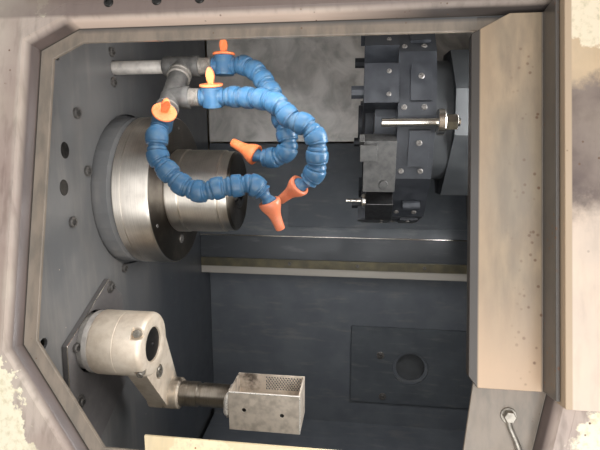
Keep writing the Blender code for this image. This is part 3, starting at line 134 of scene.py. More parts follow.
for name, place, target, width, height, watts, shows_in_metal in LAMPS:
    light = bpy.data.lights.new(name, "AREA")
    light.shape = "RECTANGLE"
    light.size, light.size_y, light.energy = width, height, watts
    lamp = placed(name, light)
    lamp.location = place
    lamp.rotation_euler = (Vector(target) - Vector(place)).to_track_quat("-Z", "Y").to_euler()
    lamp.visible_camera = False
    lamp.visible_glossy = shows_in_metal

floor_mesh = bpy.data.meshes.new("floor")
floor_mesh.from_pydata([(x, y, -0.0005) for x, y in ((-7, -7), (7, -7), (7, 7), (-7, 7))], [], [(0, 1, 2, 3)])
floor = placed("floor", floor_mesh)
floor_finish = bpy.data.materials.new("pale_floor")
floor_finish.use_nodes = True
floor_inputs = floor_finish.node_tree.nodes["Principled BSDF"].inputs
floor_inputs["Base Color"].default_value = linear("#D9D8D4")
floor_inputs["Roughness"].default_value = 0.7
floor_mesh.materials.append(floor_finish)
bpy.context.scene.view_settings.view_transform = "Standard"
print("world level", SKY_LEVEL, "with", len(bpy.data.lights), "lamps")

# %% [markdown]
# ## Shapes as functions of two parameters
#
# Machine parts are mostly turned, swept or cut from plate. Each kind is one formula worked out on whole arrays: a
# turned surface is distance along an axis against angle, a swept surface is distance along a path against angle,
# and a plate is an outline against thickness. Blender's own primitives would need many edits to get there, and a
# formula keeps each size readable.

# %% Grid, turned, swept and cut-from-plate surfaces
def grid(points, close_rows=False):
    """Quads between neighbouring rows and columns. Columns always close round; rows close for a ring."""
    rows, columns = points.shape[:2]
    index = np.arange(rows * columns).reshape(rows, columns)
    following = np.roll(index, -1, axis=0) if close_rows else index[1:]
    first = index if close_rows else index[:-1]
    quads = np.stack([first, np.roll(first, -1, axis=1), np.roll(following, -1, axis=1), following], axis=-1)
    return points.reshape(-1, 3), quads.reshape(-1, 4).tolist()


def unit(vector):
    """A vector, or each row of an array of them, made one long."""
    vector = np.array(vector, float)
    return vector / np.linalg.norm(vector, axis=-1, keepdims=True)


def across(axis):
    """Two directions square to an axis and to each other."""
    axis = unit(axis)
    helper = np.array((0.0, 0.0, 1.0)) if abs(axis[2]) < 0.9 else np.array((1.0, 0.0, 0.0))
    side = unit(np.cross(helper, axis))
    return side, np.cross(axis, side)


def turned(start, axis, profile, sides, helix=None):
    """A turned surface. A point is start + axis x distance + radius x (cos angle, sin angle) square to the axis.

    A profile row is (distance, radius, hexness). Hexness from 0 to 1 pulls the circle out to the hexagon that it
    is inscribed in. A helix (first, last, pitch, depth) adds a thread: the radius rises and falls once for each
    pitch, and its phase turns with the angle. A profile that starts and ends off the axis is closed as a ring.
    """
    rows = np.array([(*row, 0.0)[:3] for row in profile], float)
    if helix:
        first, last, pitch, depth = helix
        fine = np.arange(first, last, pitch / 6)
        rows = np.concatenate([rows, np.stack([fine, np.interp(fine, rows[:, 0], rows[:, 1]), fine * 0], 1)])
        rows = rows[np.argsort(rows[:, 0], kind="stable")]
    distance, radius, hexness = rows[:, :1], rows[:, 1:2], rows[:, 2:]
    angle = np.linspace(0, 2 * np.pi, sides, endpoint=False)[None, :]
    sector = np.mod(angle, np.pi / 3) - np.pi / 6
    radius = radius * (1 + hexness * (1 / np.cos(sector) - 1)) + 0 * angle
    if helix:
        inside = (distance > first) & (distance < last)
        wave = np.abs(np.mod(distance / pitch + angle / (2 * np.pi), 1.0) * 2 - 1)
        radius = radius - depth * wave * inside
    side, up = across(axis)
    points = (np.array(start, float) + unit(axis) * distance[..., None]
              + radius[..., None] * (np.cos(angle)[..., None] * side + np.sin(angle)[..., None] * up))
    return grid(points, close_rows=rows[0, 1] > 0 and rows[-1, 1] > 0)


def cylinder(start, axis, low, high, radius, sides, helix=None):
    """A plain round bar from one distance along an axis to another."""
    return turned(start, axis, [(low, 0), (low, radius), (high, radius), (high, 0)], sides, helix)


def swept(path, radii, sides, reference=(0, 1, 0)):
    """A round section carried along a path: each ring is square to the path, and its radius is given there."""
    path, radii = np.array(path, float), np.array(radii, float)
    tangent = unit(np.gradient(path, axis=0))
    side = unit(np.cross(tangent, np.array(reference, float)))
    up = np.cross(side, tangent)
    angle = np.linspace(0, 2 * np.pi, sides, endpoint=False)[None, :, None]
    rings = path[:, None] + radii[:, None, None] * (np.cos(angle) * side[:, None] + np.sin(angle) * up[:, None])
    ends = [np.repeat(path[i][None, None], sides, axis=1) for i in (0, -1)]
    return grid(np.concatenate([ends[0], rings, ends[1]]))


def plate(outline, low, high, place):
    """An outline given in a place's first two directions, with its thickness from low to high along the third."""
    outline = np.array(outline, float)
    count = len(outline)
    flat = np.concatenate([np.column_stack([outline, np.full(count, level)]) for level in (low, high)])
    ring = np.arange(count)
    sides = np.stack([ring, np.roll(ring, -1), np.roll(ring, -1) + count, ring + count], axis=1).tolist()
    return on(place, flat), sides + [ring[::-1].tolist(), (ring + count).tolist()]


def on(place, points):
    """Points given in a place's directions, as machine coordinates."""
    origin, directions = place
    return np.array(origin, float) + np.array(points, float) @ np.array(directions, float)


def block(place, low, high):
    """A box between two corners, given in a place's directions."""
    return plate(((low[0], low[1]), (high[0], low[1]), (high[0], high[1]), (low[0], high[1])), low[2], high[2], place)


def ellipse(x, y, radius, sides, height):
    """An ellipse round a point, with its two radii."""
    angle = np.linspace(0, 2 * np.pi, sides, endpoint=False)
    return np.stack([x + radius * np.cos(angle), y + height * np.sin(angle)], axis=1)


def inset(outline, distance):
    """An anticlockwise outline moved inwards: each corner is where its two moved edges cross."""
    outline = np.array(outline, float)
    edge = unit(np.roll(outline, -1, axis=0) - outline)
    before = np.roll(edge, 1, axis=0)
    normal, normal_before = (np.stack([-e[:, 1], e[:, 0]], axis=1) for e in (edge, before))
    miter = (normal + normal_before) / (1 + np.sum(normal * normal_before, axis=1))[:, None]
    return outline + miter * distance


print("surface formulas ready")

# %% [markdown]
# ## Places on the machine
#
# The front of the enclosure leans back by 13 degrees, the slide ways slope at 45 degrees, and the turret's
# stations stand every 30 degrees round its disc. Each place is an origin and three directions, so that a piece is
# drawn in its own plain measures.

# %% Places
LEAN = math.radians(13.0)
FRONT = ((0, -489, 1060), ((1, 0, 0), (0, math.sin(LEAN), math.cos(LEAN)), (0, -math.cos(LEAN), math.sin(LEAN))))
SLIDE = ((0, 110, 880), ((1, 0, 0), (0, .70711, .70711), (0, -.70711, .70711)))
WALL = ((0, 0, 0), ((0, 1, 0), (0, 0, 1), (1, 0, 0)))            # outline in YZ, thickness along X
UPRIGHT = ((0, 0, 0), ((1, 0, 0), (0, 0, 1), (0, -1, 0)))        # outline in XZ, thickness towards the front
SPINDLE = (0.0, -280.0, 1050.0)
TURRET = (0.0, -183.45, 1146.58)
CATCHER = (0.0, -410.0, 881.0)
ROD = (0.0, -358.0, 790.0)
RIGHT = (1.0, 0.0, 0.0)


def station(degrees):
    """The place at the turret's axis whose first direction points out at a station and third along the machine."""
    s, c = math.sin(math.radians(degrees)), math.cos(math.radians(degrees))
    return TURRET, ((0, -c, s), (0, -s, -c), (1, 0, 0))


print("spindle axis at height", SPINDLE[2], "and turret axis at height", TURRET[2])

# %% [markdown]
# ## From surface to piece
#
# A piece is one mesh of one or more closed shells. Its doubles are merged, its faces are turned outwards, and a
# narrow bevel catches the light along its edges, as a real edge does. Sheet parts whose CAD shape is already
# right are taken from the frame as a copy, merged into flat faces and bevelled, and the copy stands for its node.

# %% Piece helpers
def settle(name, mesh, finish, body, stands_for, bevel, sharp, segments=2):
    """A mesh as a piece on its body, with its finish and a narrow bevel."""
    mesh.shade_smooth()
    mesh.set_sharp_from_angle(angle=math.radians(sharp))
    mesh.materials.append(finish)
    piece = placed(name, mesh)
    if bevel:
        rounding = piece.modifiers.new("edges", "BEVEL")
        rounding.width = bevel * MM
        rounding.segments = segments
        rounding.limit_method = "ANGLE"
        rounding.angle_limit = math.radians(sharp)
        rounding.harden_normals = True
    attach(piece, body)
    if stands_for:
        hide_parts(*stands_for)
    return piece


DOUBLES = 2e-6          # metres between vertices that are one
CUT_DOUBLES = 5e-6      # and after a Boolean, which leaves slivers
FLAT = math.radians(0.6)


def cleaned(mesh, flatten, doubles=DOUBLES):
    """Merge a mesh's doubles, then merge its triangles into flat faces or turn its faces outwards."""
    bm = bmesh.new()
    bm.from_mesh(mesh)
    bmesh.ops.remove_doubles(bm, verts=bm.verts, dist=doubles)
    if flatten:
        bmesh.ops.dissolve_limit(bm, angle_limit=FLAT, verts=bm.verts, edges=bm.edges)
    else:
        bmesh.ops.recalc_face_normals(bm, faces=bm.faces)
    bm.to_mesh(mesh)
    bm.free()
    return mesh


def mesh_of(name, surfaces):
    """One mesh from surfaces in millimetres, with doubles merged and faces turned outwards."""
    offsets = np.cumsum([0] + [len(points) for points, faces in surfaces])
    faces = [[corner + offset for corner in face] for offset, (points, fs) in zip(offsets, surfaces) for face in fs]
    mesh = bpy.data.meshes.new(name)
    mesh.from_pydata((np.concatenate([points for points, fs in surfaces]) * MM).tolist(), [], faces)
    return cleaned(mesh, False)


def make(name, surfaces, finish, node=None, body="machine", slot="bare_steel", bevel=0.0, sharp=32.0, segments=2):
    """A new piece. Where it stands for a node, it takes that node's body. The slot argument is not used."""
    if node:
        body, slot = body_of[node], slot_of[node]
    return settle(name, mesh_of(name, surfaces), finish, body, (node,) if node else (), bevel, sharp, segments)


def dress(node, finish, bevel):
    """A bevelled copy of a CAD node, its loose triangles merged back into flat faces."""
    source = frame["nodes"][node].data
    points = np.empty(len(source.vertices) * 3)
    source.vertices.foreach_get("co", points)
    corners = np.empty(len(source.loops), int)
    source.loops.foreach_get("vertex_index", corners)
    mesh = bpy.data.meshes.new(f"dressed_{node}")
    mesh.from_pydata(points.reshape(-1, 3).tolist(), [], corners.reshape(-1, 3).tolist())
    return settle(f"dressed_{node}", cleaned(mesh, True), finish, body_of[node], (node,), bevel, 28.0)


def paint(finish, *nodes):
    """Give carried-over CAD nodes their finish."""
    for node in nodes:
        mesh = frame["nodes"][node].data
        mesh.materials.clear()
        mesh.materials.append(finish)


print("piece helpers ready")

# %% [markdown]
# ## Finishes: how each one starts
#
# Every finish reads the piece's own coordinates in millimetres, so that a pattern's scale is a real size. A height
# in millimetres becomes bump. Patterns that follow the machine, such as grime that runs down, use the same
# coordinates.

# %% Finish helpers
def start_finish(name, colour, roughness, metallic=0.0, **sockets):
    """A new material with its plain values set on the shader, and its coordinates in millimetres."""
    material = bpy.data.materials.new(name)
    material.use_nodes = True
    tree = material.node_tree
    shader = tree.nodes["Principled BSDF"]
    shader.inputs["Base Color"].default_value = linear(colour)
    shader.inputs["Roughness"].default_value = roughness
    shader.inputs["Metallic"].default_value = metallic
    for socket, value in sockets.items():
        shader.inputs[socket.replace("_", " ")].default_value = value
    own = add(tree, "TexCoord")
    millimetres = add(tree, "VectorMath", {0: own.outputs["Object"], "Scale": 1000.0}, operation="SCALE")
    return material, tree, shader, millimetres.outputs[0]


def wire(tree, shader, colour, roughness, height=None, depth=0.05):
    """Connect a finish's colour, roughness and height, where depth is the height's real size in millimetres."""
    tree.links.new(roughness, shader.inputs["Roughness"])
    if colour is not None:
        tree.links.new(colour, shader.inputs["Base Color"])
    if height is not None:
        bump = add(tree, "Bump", {"Height": height, "Distance": depth * MM, "Strength": 1.0})
        tree.links.new(bump.outputs[0], shader.inputs["Normal"])


def cloud(tree, at, size, low=0.35, high=0.65, stretch=(1, 1, 1), detail=4.0, seed=0.0):
    """A soft mask of patches of a real size, 0 below low and 1 above high of the noise's range."""
    where = add(tree, "Mapping", {"Vector": at, "Location": (seed, seed * 0.7, seed * 0.3),
                                  "Scale": tuple(1 / (size * s) for s in stretch)})
    noise = add(tree, "TexNoise", {"Vector": where.outputs[0], "Scale": 1.0, "Detail": detail, "Roughness": 0.55})
    mask = add(tree, "MapRange", {0: noise.outputs[0], 1: low, 2: high}, interpolation_type="SMOOTHSTEP")
    return mask.outputs[0]


def blend(tree, share, first, second, kind="MIX"):
    """One colour over another by a share, as a film, a stain or a shadow lies on a surface."""
    mix = add(tree, "Mix", {0: share, 6: first, 7: second}, data_type="RGBA", blend_type=kind)
    return mix.outputs[2]


def level(tree, share, low, high):
    """A share turned into a value between two levels."""
    return add(tree, "MapRange", {0: share, 3: low, 4: high}).outputs[0]


def overlap(tree, first, second):
    """The share where two shares lie together."""
    return add(tree, "Math", {0: first, 1: second}, operation="MULTIPLY").outputs[0]


def grain(tree, at, size, detail=2.0):
    """The height of orange peel, casting skin or grit whose lumps have a real size."""
    return add(tree, "TexNoise", {"Vector": at, "Scale": 1 / size, "Detail": detail}).outputs[0]


def specked(tree, at, spacing, outer, inner):
    """Round specks, one to each cell of a real size, with their radii as parts of a cell."""
    cells = add(tree, "TexVoronoi", {"Vector": at, "Scale": 1 / spacing})
    return add(tree, "MapRange", {0: cells.outputs["Distance"], 1: outer, 2: inner}).outputs[0]


def past(tree, at, way, first, last, **settings):
    """The share by which a point has passed from a first level to a last one along a way."""
    direction, origin = way
    offset = float(np.dot(direction, origin))
    along = add(tree, "VectorMath", {0: at, 1: direction}, operation="DOT_PRODUCT").outputs["Value"]
    return add(tree, "MapRange", {0: along, 1: first + offset, 2: last + offset}, **settings).outputs[0]


def within(tree, at, place, far, near):
    """The share by which a point has come from a far to a near distance from a place."""
    reach = add(tree, "VectorMath", {0: at, 1: place}, operation="DISTANCE")
    return add(tree, "MapRange", {0: reach.outputs["Value"], 1: far, 2: near}).outputs[0]


def laid(tree, at, colour, *layers):
    """Grime laid on in order. A layer is (colour, share, limits), and it lies where all its limits hold."""
    for grime, amount, *limits in layers:
        share = level(tree, past(tree, at, *limits[0]), 0.0, amount)
        for limit in limits[1:]:
            share = overlap(tree, share, past(tree, at, *limit))
        colour = blend(tree, share, colour, grime)
    return colour


ACROSS, BACK, HIGH = (((1, 0, 0), (0, 0, 0)), ((0, 1, 0), (0, 0, 0)), ((0, 0, 1), (0, 0, 0)))
UP, OUT = (FRONT[1][1], FRONT[0]), (FRONT[1][2], FRONT[0])       # measured from the leaning front face
print("finish helpers ready")

# %% [markdown]
# ## Cream enamel on the enclosure
#
# The enclosure is sheet steel with two-pack enamel, sprayed to a faint orange peel. Years of coolant mist leave a
# brown-grey film on it, thickest round the door, and the clean cream shows only where hands and rags rub or the
# film has come off in patches. The film is one colour over another by a patchy share. Each clean patch is a ball
# round a chosen point whose edge is broken up with noise, because a painted mask would not follow the machine.
# Round the opening, painted shade and a painted highlight lie on the bend, returns and flanges.

# %% Cream enamel
def worn_enamel(name, clean, film, film_level, runs, patches=(), zones=(), layers=(), specks="#6B4E39",
                opening=False):
    """Enamel with a film, runs down it, specks, clean patches given as (x, up, out, radius), and at the opening its
    grime with painted shade and a painted highlight.
    """
    material, tree, shader, at = start_finish(name, clean, 0.42, Coat_Weight=0.15, Coat_Roughness=0.25)
    wander = add(tree, "TexNoise", {"Vector": at, "Scale": 1 / 14, "Detail": 5.0, "Roughness": 0.62})
    centred = add(tree, "VectorMath", {0: wander.outputs[1], 1: (0.5, 0.5, 0.5)}, operation="SUBTRACT")
    shift = add(tree, "VectorMath", {0: centred.outputs[0], "Scale": 44.0}, operation="SCALE")
    moved = add(tree, "VectorMath", {0: at, 1: shift.outputs[0]}, operation="ADD").outputs[0]
    mottle = cloud(tree, at, 46, 0.30, 0.72, detail=6.0)
    film_colour = blend(tree, mottle, film, blend(tree, 0.5, film, "#C9BBAF"))
    for edge, width, colour in zones:
        share = past(tree, moved, UP, edge - width / 2, edge + width / 2, interpolation_type="SMOOTHSTEP")
        zone = blend(tree, level(tree, mottle, 0.0, 0.3), colour, film_colour)
        film_colour = blend(tree, share, film_colour, zone)
    run = cloud(tree, at, 7, 0.42, 0.78, stretch=(1.0, 1.0, 16.0), detail=3.0, seed=3.0)
    film_colour = blend(tree, level(tree, run, 0.0, runs), film_colour, "#6E6057", "MULTIPLY")
    thick = level(tree, cloud(tree, at, 90, 0.25, 0.6, seed=9.0), film_level * 0.8, film_level)
    colour = blend(tree, thick, clean, film_colour)
    bare = [within(tree, moved, tuple(on(FRONT, patch[:3])), patch[3], patch[3] * 0.9) for patch in patches]
    while len(bare) > 1:
        bare.append(add(tree, "Math", {0: bare.pop(0), 1: bare.pop(0)}, operation="MAXIMUM").outputs[0])
    if bare:
        colour = blend(tree, bare[0], colour, blend(tree, cloud(tree, at, 5, 0.45, 0.75), clean, "#D8C9A6"))
    # At the opening: its grime, painted shade and a painted highlight.
    if opening:
        colour = opening_grime_and_shade(tree, at, moved, mottle, colour)
    colour = laid(tree, at, colour, *layers)
    dot = overlap(tree, specked(tree, at, 9, 0.13, 0.07), cloud(tree, at, 60, 0.52, 0.62, seed=21.0))
    colour = blend(tree, dot, colour, specks)
    wire(tree, shader, colour, level(tree, mottle, 0.34, 0.55), height=grain(tree, at, 1.6), depth=0.05)
    return material


def opening_grime_and_shade(tree, at, moved, mottle, colour):
    """The opening's grime and painted light: painted shade on the face beside the left bend, a darker band above the
    opening, a darker patch below its lower left, darker returns, a painted highlight fading to painted shade along the
    top return, painted shade in the crease before the flange, and an oily flange with painted shade along the top.
    """
    # The first band is painted shade on the face beside the left bend; the others darken the face above the opening
    # and below its lower left.
    colour = laid(tree, at, colour,
                  ("#8A6F66", 0.40, (ACROSS, -334.5, -337.5), (ACROSS, -372.0, -344.0)),
                  ("#74635C", 0.88, (UP, 171.0, 174.0), (UP, 290.0, 205.0)),
                  ("#8C7D70", 0.50, (ACROSS, -306.0, -292.0), (UP, -205.0, -235.0)))
    far = within(tree, moved, tuple(on(FRONT, (-60, -20, 20))), 300.0, 520.0)
    colour = blend(tree, level(tree, far, 0.0, 0.9), colour, blend(tree, mottle, "#D9CEB8", "#E2D7C0"))
    # Along the top, the return carries a painted highlight at the left that fades to painted shade at the right, and
    # the flange gets painted shade.
    top = ((UP, 164.0, 168.0), (ACROSS, -294.0, -284.0))
    lit_to_shaded = past(tree, at, ACROSS, -60.0, 50.0)
    side = blend(tree, cloud(tree, at, 30, 0.3, 0.7, stretch=(1, 1, 3), seed=5.0), "#6B5D58", "#5C504B")
    side = laid(tree, at, side, (blend(tree, lit_to_shaded, "#DCC4B3", "#544D4A"), 1.0, *top))
    olive = blend(tree, cloud(tree, at, 12, 0.35, 0.7, stretch=(1, 1, 4), seed=14.0), "#8F8172", "#786E62")
    olive = laid(tree, at, olive, (blend(tree, lit_to_shaded, "#5E5853", "#403F40"), 1.0, *top))
    # The dark band just before the flange is painted shade in the crease between return and flange.
    return laid(tree, at, colour, (side, 1.0, (OUT, 18.2, 13.5)), ("#4A443E", 1.0, (OUT, 2.2, 0.9)),
                (olive, 1.0, (OUT, 0.35, 0.05)))


front_enamel = worn_enamel(
    "cream_enamel_front", "#F1E7CB", "#AD998E", 0.96, 0.45, opening=True,
    patches=((-336, -160, 20, 13), (-331, -186, 20, 21), (-324, -212, 20, 21), (-314, -236, 20, 22),
             (-297, -1, -18, 5), (-312, 186, 20, 7), (196, -196, 20, 42), (250, -205, 20, 46),
             (170, -236, 20, 26), (-232, -214, -2, 7), (-285, -226, -2, 5)))
outer_enamel = worn_enamel("cream_enamel_outside", "#E6DBC0", "#C7BBA6", 0.35, 0.15)
sill_enamel = worn_enamel("cream_enamel_sill", "#F0DFB6", "#CFAE7F", 0.45, 0.3, specks="#B06A35",
                          patches=((-150, -232, 0, 30), (0, -232, 0, 40)))
door_left = min(corner.co.x for corner in frame["nodes"]["door_panel"].data.vertices) / MM
door_enamel = worn_enamel(
    "cream_enamel_door", "#F4E2C4", "#E6CDB6", 1.0, 0.12,
    zones=((-4, 34, "#4E3C38"), (94, 18, "#D9BB94")),
    layers=[("#BFA68A", 1.0, (ACROSS, door_left + 5.5, door_left + 4.5))],
    patches=((170, 150, 45, 34), (214, 140, 45, 30), (158, 185, 45, 24), (240, 180, 45, 40)))
print("cream enamel in", len([m for m in bpy.data.materials if "cream" in m.name]), "mixes")

# %% [markdown]
# ## Tan enamel on the door's leading post
#
# The post is the same sheet steel, painted tan, and hands pull it open and shut all day. It has an oily film that
# runs down, brown pin-head rust spots on its right half, and a lighter, cleaner strip near the bottom. Dark bands
# at its left edge and on the web beyond its front face are painted shade. It is made like the cream enamel, with
# its own colours and denser spots.

# %% Tan enamel
def post_enamel():
    """The post's tan enamel: streaks, a warm low end, painted shade at both outer edges and rust spots on the right.
    """
    material, tree, shader, at = start_finish("tan_enamel_post", "#BCA88F", 0.36, Coat_Weight=0.25,
                                              Coat_Roughness=0.3)
    streak = cloud(tree, at, 9, 0.3, 0.7, stretch=(1, 1, 22), detail=5.0)
    patch = cloud(tree, at, 34, 0.32, 0.7, stretch=(1, 1, 2.4), detail=6.0, seed=4.0)
    colour = blend(tree, patch, "#95856F", "#AE977B")
    colour = blend(tree, level(tree, streak, 0.0, 0.55), colour, "#7C6D5D")
    # The last two bands are painted shade: a dark strip at the left edge, and the web past the front face.
    colour = laid(tree, at, colour,
                  ("#BB9C7A", 0.60, (ACROSS, 106.0, 84.0)), ("#D0AF8F", 0.75, (UP, -60.0, -135.0)),
                  ("#332F2C", 0.95, (ACROSS, 89.0, 87.4)), ("#5C5650", 1.0, (ACROSS, 137.0, 139.0)))
    some = overlap(tree, cloud(tree, at, 26, 0.44, 0.56, seed=12.0), past(tree, at, ACROSS, 108.0, 134.0))
    spot = overlap(tree, specked(tree, at, 6.5, 0.26, 0.12), some)
    colour = blend(tree, level(tree, spot, 0.0, 0.85), colour, "#6A4A33")
    wire(tree, shader, colour, level(tree, patch, 0.28, 0.46), height=grain(tree, at, 1.8), depth=0.06)
    return material


tan_enamel = post_enamel()
print("tan enamel ready")

# %% [markdown]
# ## Dark enamel and dark sheet
#
# The wall plate has a satin dark grey enamel under a thin oil film, so that it looks mid grey and slightly cloudy.
# Towards the back of the chamber it is painted darker, as painted shade.
# The guards are thinner, darker sheet with a phosphate finish that coolant has polished in streaks. Both are
# dielectric coatings. The sheet gets a little metallic sheen where it is worn through.

# %% Dark enamel and dark sheet
def dark_enamel(name, base, film, roughness=0.42, layers=()):
    """Satin enamel under an oil film, with smears that run down and a few pale specks."""
    material, tree, shader, at = start_finish(name, base, roughness, Coat_Weight=0.2, Coat_Roughness=0.2)
    haze = cloud(tree, at, 70, 0.3, 0.72, detail=5.0)
    smear = cloud(tree, at, 16, 0.45, 0.8, stretch=(1, 1, 6), detail=3.0, seed=7.0)
    colour = blend(tree, haze, base, film)
    colour = blend(tree, level(tree, smear, 0.0, 0.3), colour, "#A29B92")
    colour = laid(tree, at, colour, *layers)
    colour = blend(tree, specked(tree, at, 24, 0.035, 0.02), colour, "#C9B9A5")
    wire(tree, shader, colour, level(tree, haze, roughness - 0.06, roughness + 0.12),
         height=grain(tree, at, 1.4), depth=0.04)
    return material


def dark_sheet(name, base, worn, roughness=0.4, beam=False):
    """Phosphated sheet with scuffs along it. The beam's front is darker, and its lower flange is rubbed bright."""
    material, tree, shader, at = start_finish(name, base, roughness, 0.1)
    haze = cloud(tree, at, 60, 0.34, 0.7, detail=5.0, seed=2.0)
    scuff = cloud(tree, at, 11, 0.52, 0.8, stretch=(5, 1, 1), detail=4.0, seed=8.0)
    colour = blend(tree, level(tree, haze, 0.0, 0.5), base, worn)
    colour = blend(tree, level(tree, scuff, 0.0, 0.35), colour, "#8E8A84")
    if beam:
        dark = blend(tree, level(tree, scuff, 0.1, 0.8), "#34373B", "#5D5E5F")
        dark = laid(tree, at, dark, ("#A39D94", 1.0, (HIGH, 874.0, 872.0)))
        colour = laid(tree, at, colour, (dark, 1.0, (BACK, -8.9, -9.3)))
    wire(tree, shader, colour, level(tree, haze, roughness + 0.1, roughness - 0.08),
         height=grain(tree, at, 0.8), depth=0.02)
    return material


# The wall's layer darkens it towards the back of the chamber: painted shade.
wall_enamel = dark_enamel("dark_enamel_wall", "#6A6A6A", "#7A7876", layers=[("#33383F", 0.85, (BACK, -360.0, -190.0))])
machine_enamel = dark_enamel("dark_enamel_outside", "#4A4846", "#5A5753", 0.46)
guard_sheet = dark_sheet("phosphated_sheet_guard", "#4E5257", "#63676B")
beam_sheet = dark_sheet("phosphated_sheet_beam", "#4E5257", "#63676B", beam=True)
chute_sheet = dark_sheet("phosphated_sheet_chute", "#5C6066", "#707478", 0.36)
hex_sheet = dark_sheet("phosphated_sheet_hex", "#6B6766", "#7A7673", 0.42)
print("dark coatings ready")

# %% [markdown]
# ## Smeared stainless sheet
#
# The back of the chamber is a cold-rolled stainless sheet. It reflects the room softly, and dried coolant lies on
# it in wide, cloudy swirls that look lighter than the clean metal. The swirls are noise that is itself bent by
# noise, and they raise the roughness where they lie.

# %% Smeared stainless
def smeared_stainless():
    """Cold-rolled sheet under swirls of dried coolant."""
    material, tree, shader, at = start_finish("stainless_sheet_back", "#B9B5B1", 0.34, 0.12)
    bend = add(tree, "TexNoise", {"Vector": at, "Scale": 1 / 120, "Detail": 2.0})
    pull = add(tree, "VectorMath", {0: bend.outputs[1], "Scale": 130.0}, operation="SCALE")
    bent = add(tree, "VectorMath", {0: at, 1: pull.outputs[0]}, operation="ADD").outputs[0]
    swirl = cloud(tree, bent, 62, 0.36, 0.66, detail=6.0)
    fine = cloud(tree, bent, 17, 0.40, 0.72, detail=4.0, seed=5.0)
    colour = blend(tree, swirl, "#99958F", "#DDD8D2")
    colour = blend(tree, level(tree, fine, 0.0, 0.4), colour, "#D2CCC4")
    colour = laid(tree, at, colour, ("#B4B2B0", 0.3, (ACROSS, -20.0, -130.0)))
    wire(tree, shader, colour, level(tree, swirl, 0.28, 0.55), height=fine, depth=0.02)
    return material


stainless = smeared_stainless()
print("stainless ready")

# %% [markdown]
# ## Turned, drawn and cast metals
#
# A lathe tool leaves fine rings on a turned face, so the spindle ring shows bright and dark lines round it. They
# are one-dimensional noise of distance along the axis and of distance from it. Real rings are 0.1 mm apart, too
# fine to show, so these are drawn about 1 mm apart. Cast aluminium is blasted: soft, speckled and warm with oil.

# %% Metals
def turned_steel(name, colour, axis, roughness, spacing, tarnish="#8C8073", tarnish_share=0.25, face=None):
    """Turned metal: rings round an axis, oil in patches, an end face painted darker as painted shade, mottled by the
    oil, and highlights drawn out by the rings.
    """
    material, tree, shader, at = start_finish(name, colour, roughness, 1.0)
    along = add(tree, "SeparateXYZ", {0: at}).outputs[0]
    centre = (0.0, axis[1], axis[2])
    flat = add(tree, "VectorMath", {0: at, 1: (0.0, 1.0, 1.0)}, operation="MULTIPLY").outputs[0]
    reach = add(tree, "VectorMath", {0: flat, 1: centre}, operation="DISTANCE").outputs["Value"]
    sweep = add(tree, "Math", {0: reach, 1: along}, operation="ADD").outputs[0]
    rings = add(tree, "TexNoise", {"W": sweep, "Scale": 1 / spacing, "Detail": 3.0},
                noise_dimensions="1D").outputs[0]
    ring = add(tree, "MapRange", {0: rings, 1: 0.3, 2: 0.7}).outputs[0]
    oil = cloud(tree, at, 28, 0.42, 0.75, detail=5.0)
    tone = blend(tree, level(tree, ring, 0.0, 0.30), colour, tarnish)
    tone = blend(tree, level(tree, oil, 0.0, tarnish_share), tone, tarnish)
    # The end face is painted darker, as painted shade, mottled by the oil patches.
    if face:
        darkened = blend(tree, oil, "#6E675F", "#8E867B")
        tone = laid(tree, at, tone, (darkened, 1.0, (ACROSS, face - 0.8, face - 0.2)))
    rough = add(tree, "Math", {0: level(tree, ring, roughness - 0.06, roughness + 0.08),
                               1: level(tree, oil, 0.0, 0.10)}, operation="ADD").outputs[0]
    outward = add(tree, "VectorMath", {0: flat, 1: centre}, operation="SUBTRACT").outputs[0]
    groove = add(tree, "VectorMath", {0: outward, 1: (0.1, 0.0, 0.0)}, operation="ADD").outputs[0]
    turn = add(tree, "VectorTransform", {0: groove}, vector_type="VECTOR", convert_from="OBJECT",
               convert_to="WORLD")
    shader.inputs["Anisotropic"].default_value = 0.85
    tree.links.new(turn.outputs[0], shader.inputs["Tangent"])
    wire(tree, shader, tone, rough, height=ring, depth=0.02)
    return material


def plain_metal(name, colour, worn, roughness, size, metallic=1.0, depth=0.03, skin=1.2, darkened=None):
    """A metal whose tone changes in patches of one size, over a fine skin of another."""
    material, tree, shader, at = start_finish(name, colour, roughness, metallic)
    patch = cloud(tree, at, size, 0.34, 0.7, detail=6.0)
    tone = blend(tree, level(tree, patch, 0.0, 0.6), colour, worn)
    if darkened:
        place, near, far, film = darkened
        tone = blend(tree, within(tree, at, place, far, near), tone, blend(tree, patch, film, tone))
    wire(tree, shader, tone, level(tree, patch, roughness - 0.05, roughness + 0.12),
         height=grain(tree, at, skin, 3.0), depth=depth)
    return material


spindle_steel = turned_steel("turned_steel_spindle", "#FFF6EA", SPINDLE, 0.42, 0.7, face=-261.0)
nose_steel = turned_steel("turned_steel_nose", "#FAF2E6", SPINDLE, 0.40, 0.6, face=-178.5)
rod_oxide = turned_steel("black_oxide_rod", "#C2B8AA", ROD, 0.50, 0.9, "#6E655A", 0.6)
pipe_steel = plain_metal("drawn_steel_pipe", "#F0E9E0", "#B5AEA7", 0.40, 12.0, 0.45)
fitting_steel = plain_metal("cast_steel_fitting", "#6F6D6A", "#4C4B49", 0.44, 9.0, 0.5)
cast_aluminium = plain_metal("blasted_cast_aluminium", "#FBEBD6", "#CFBBA3", 0.46, 16.0, 0.35, 0.10, 1.6,
                             darkened=((-236.0, -352.0, 792.0), 20.0, 42.0, "#4E463D"))
bucket_sheet = plain_metal("bucket_sheet_steel", "#EADCCB", "#A89A8A", 0.42, 11.0, 0.4, 0.05, 2.0,
                           darkened=((-160.0, -345.0, 812.0), 14.0, 52.0, "#5A5149"))
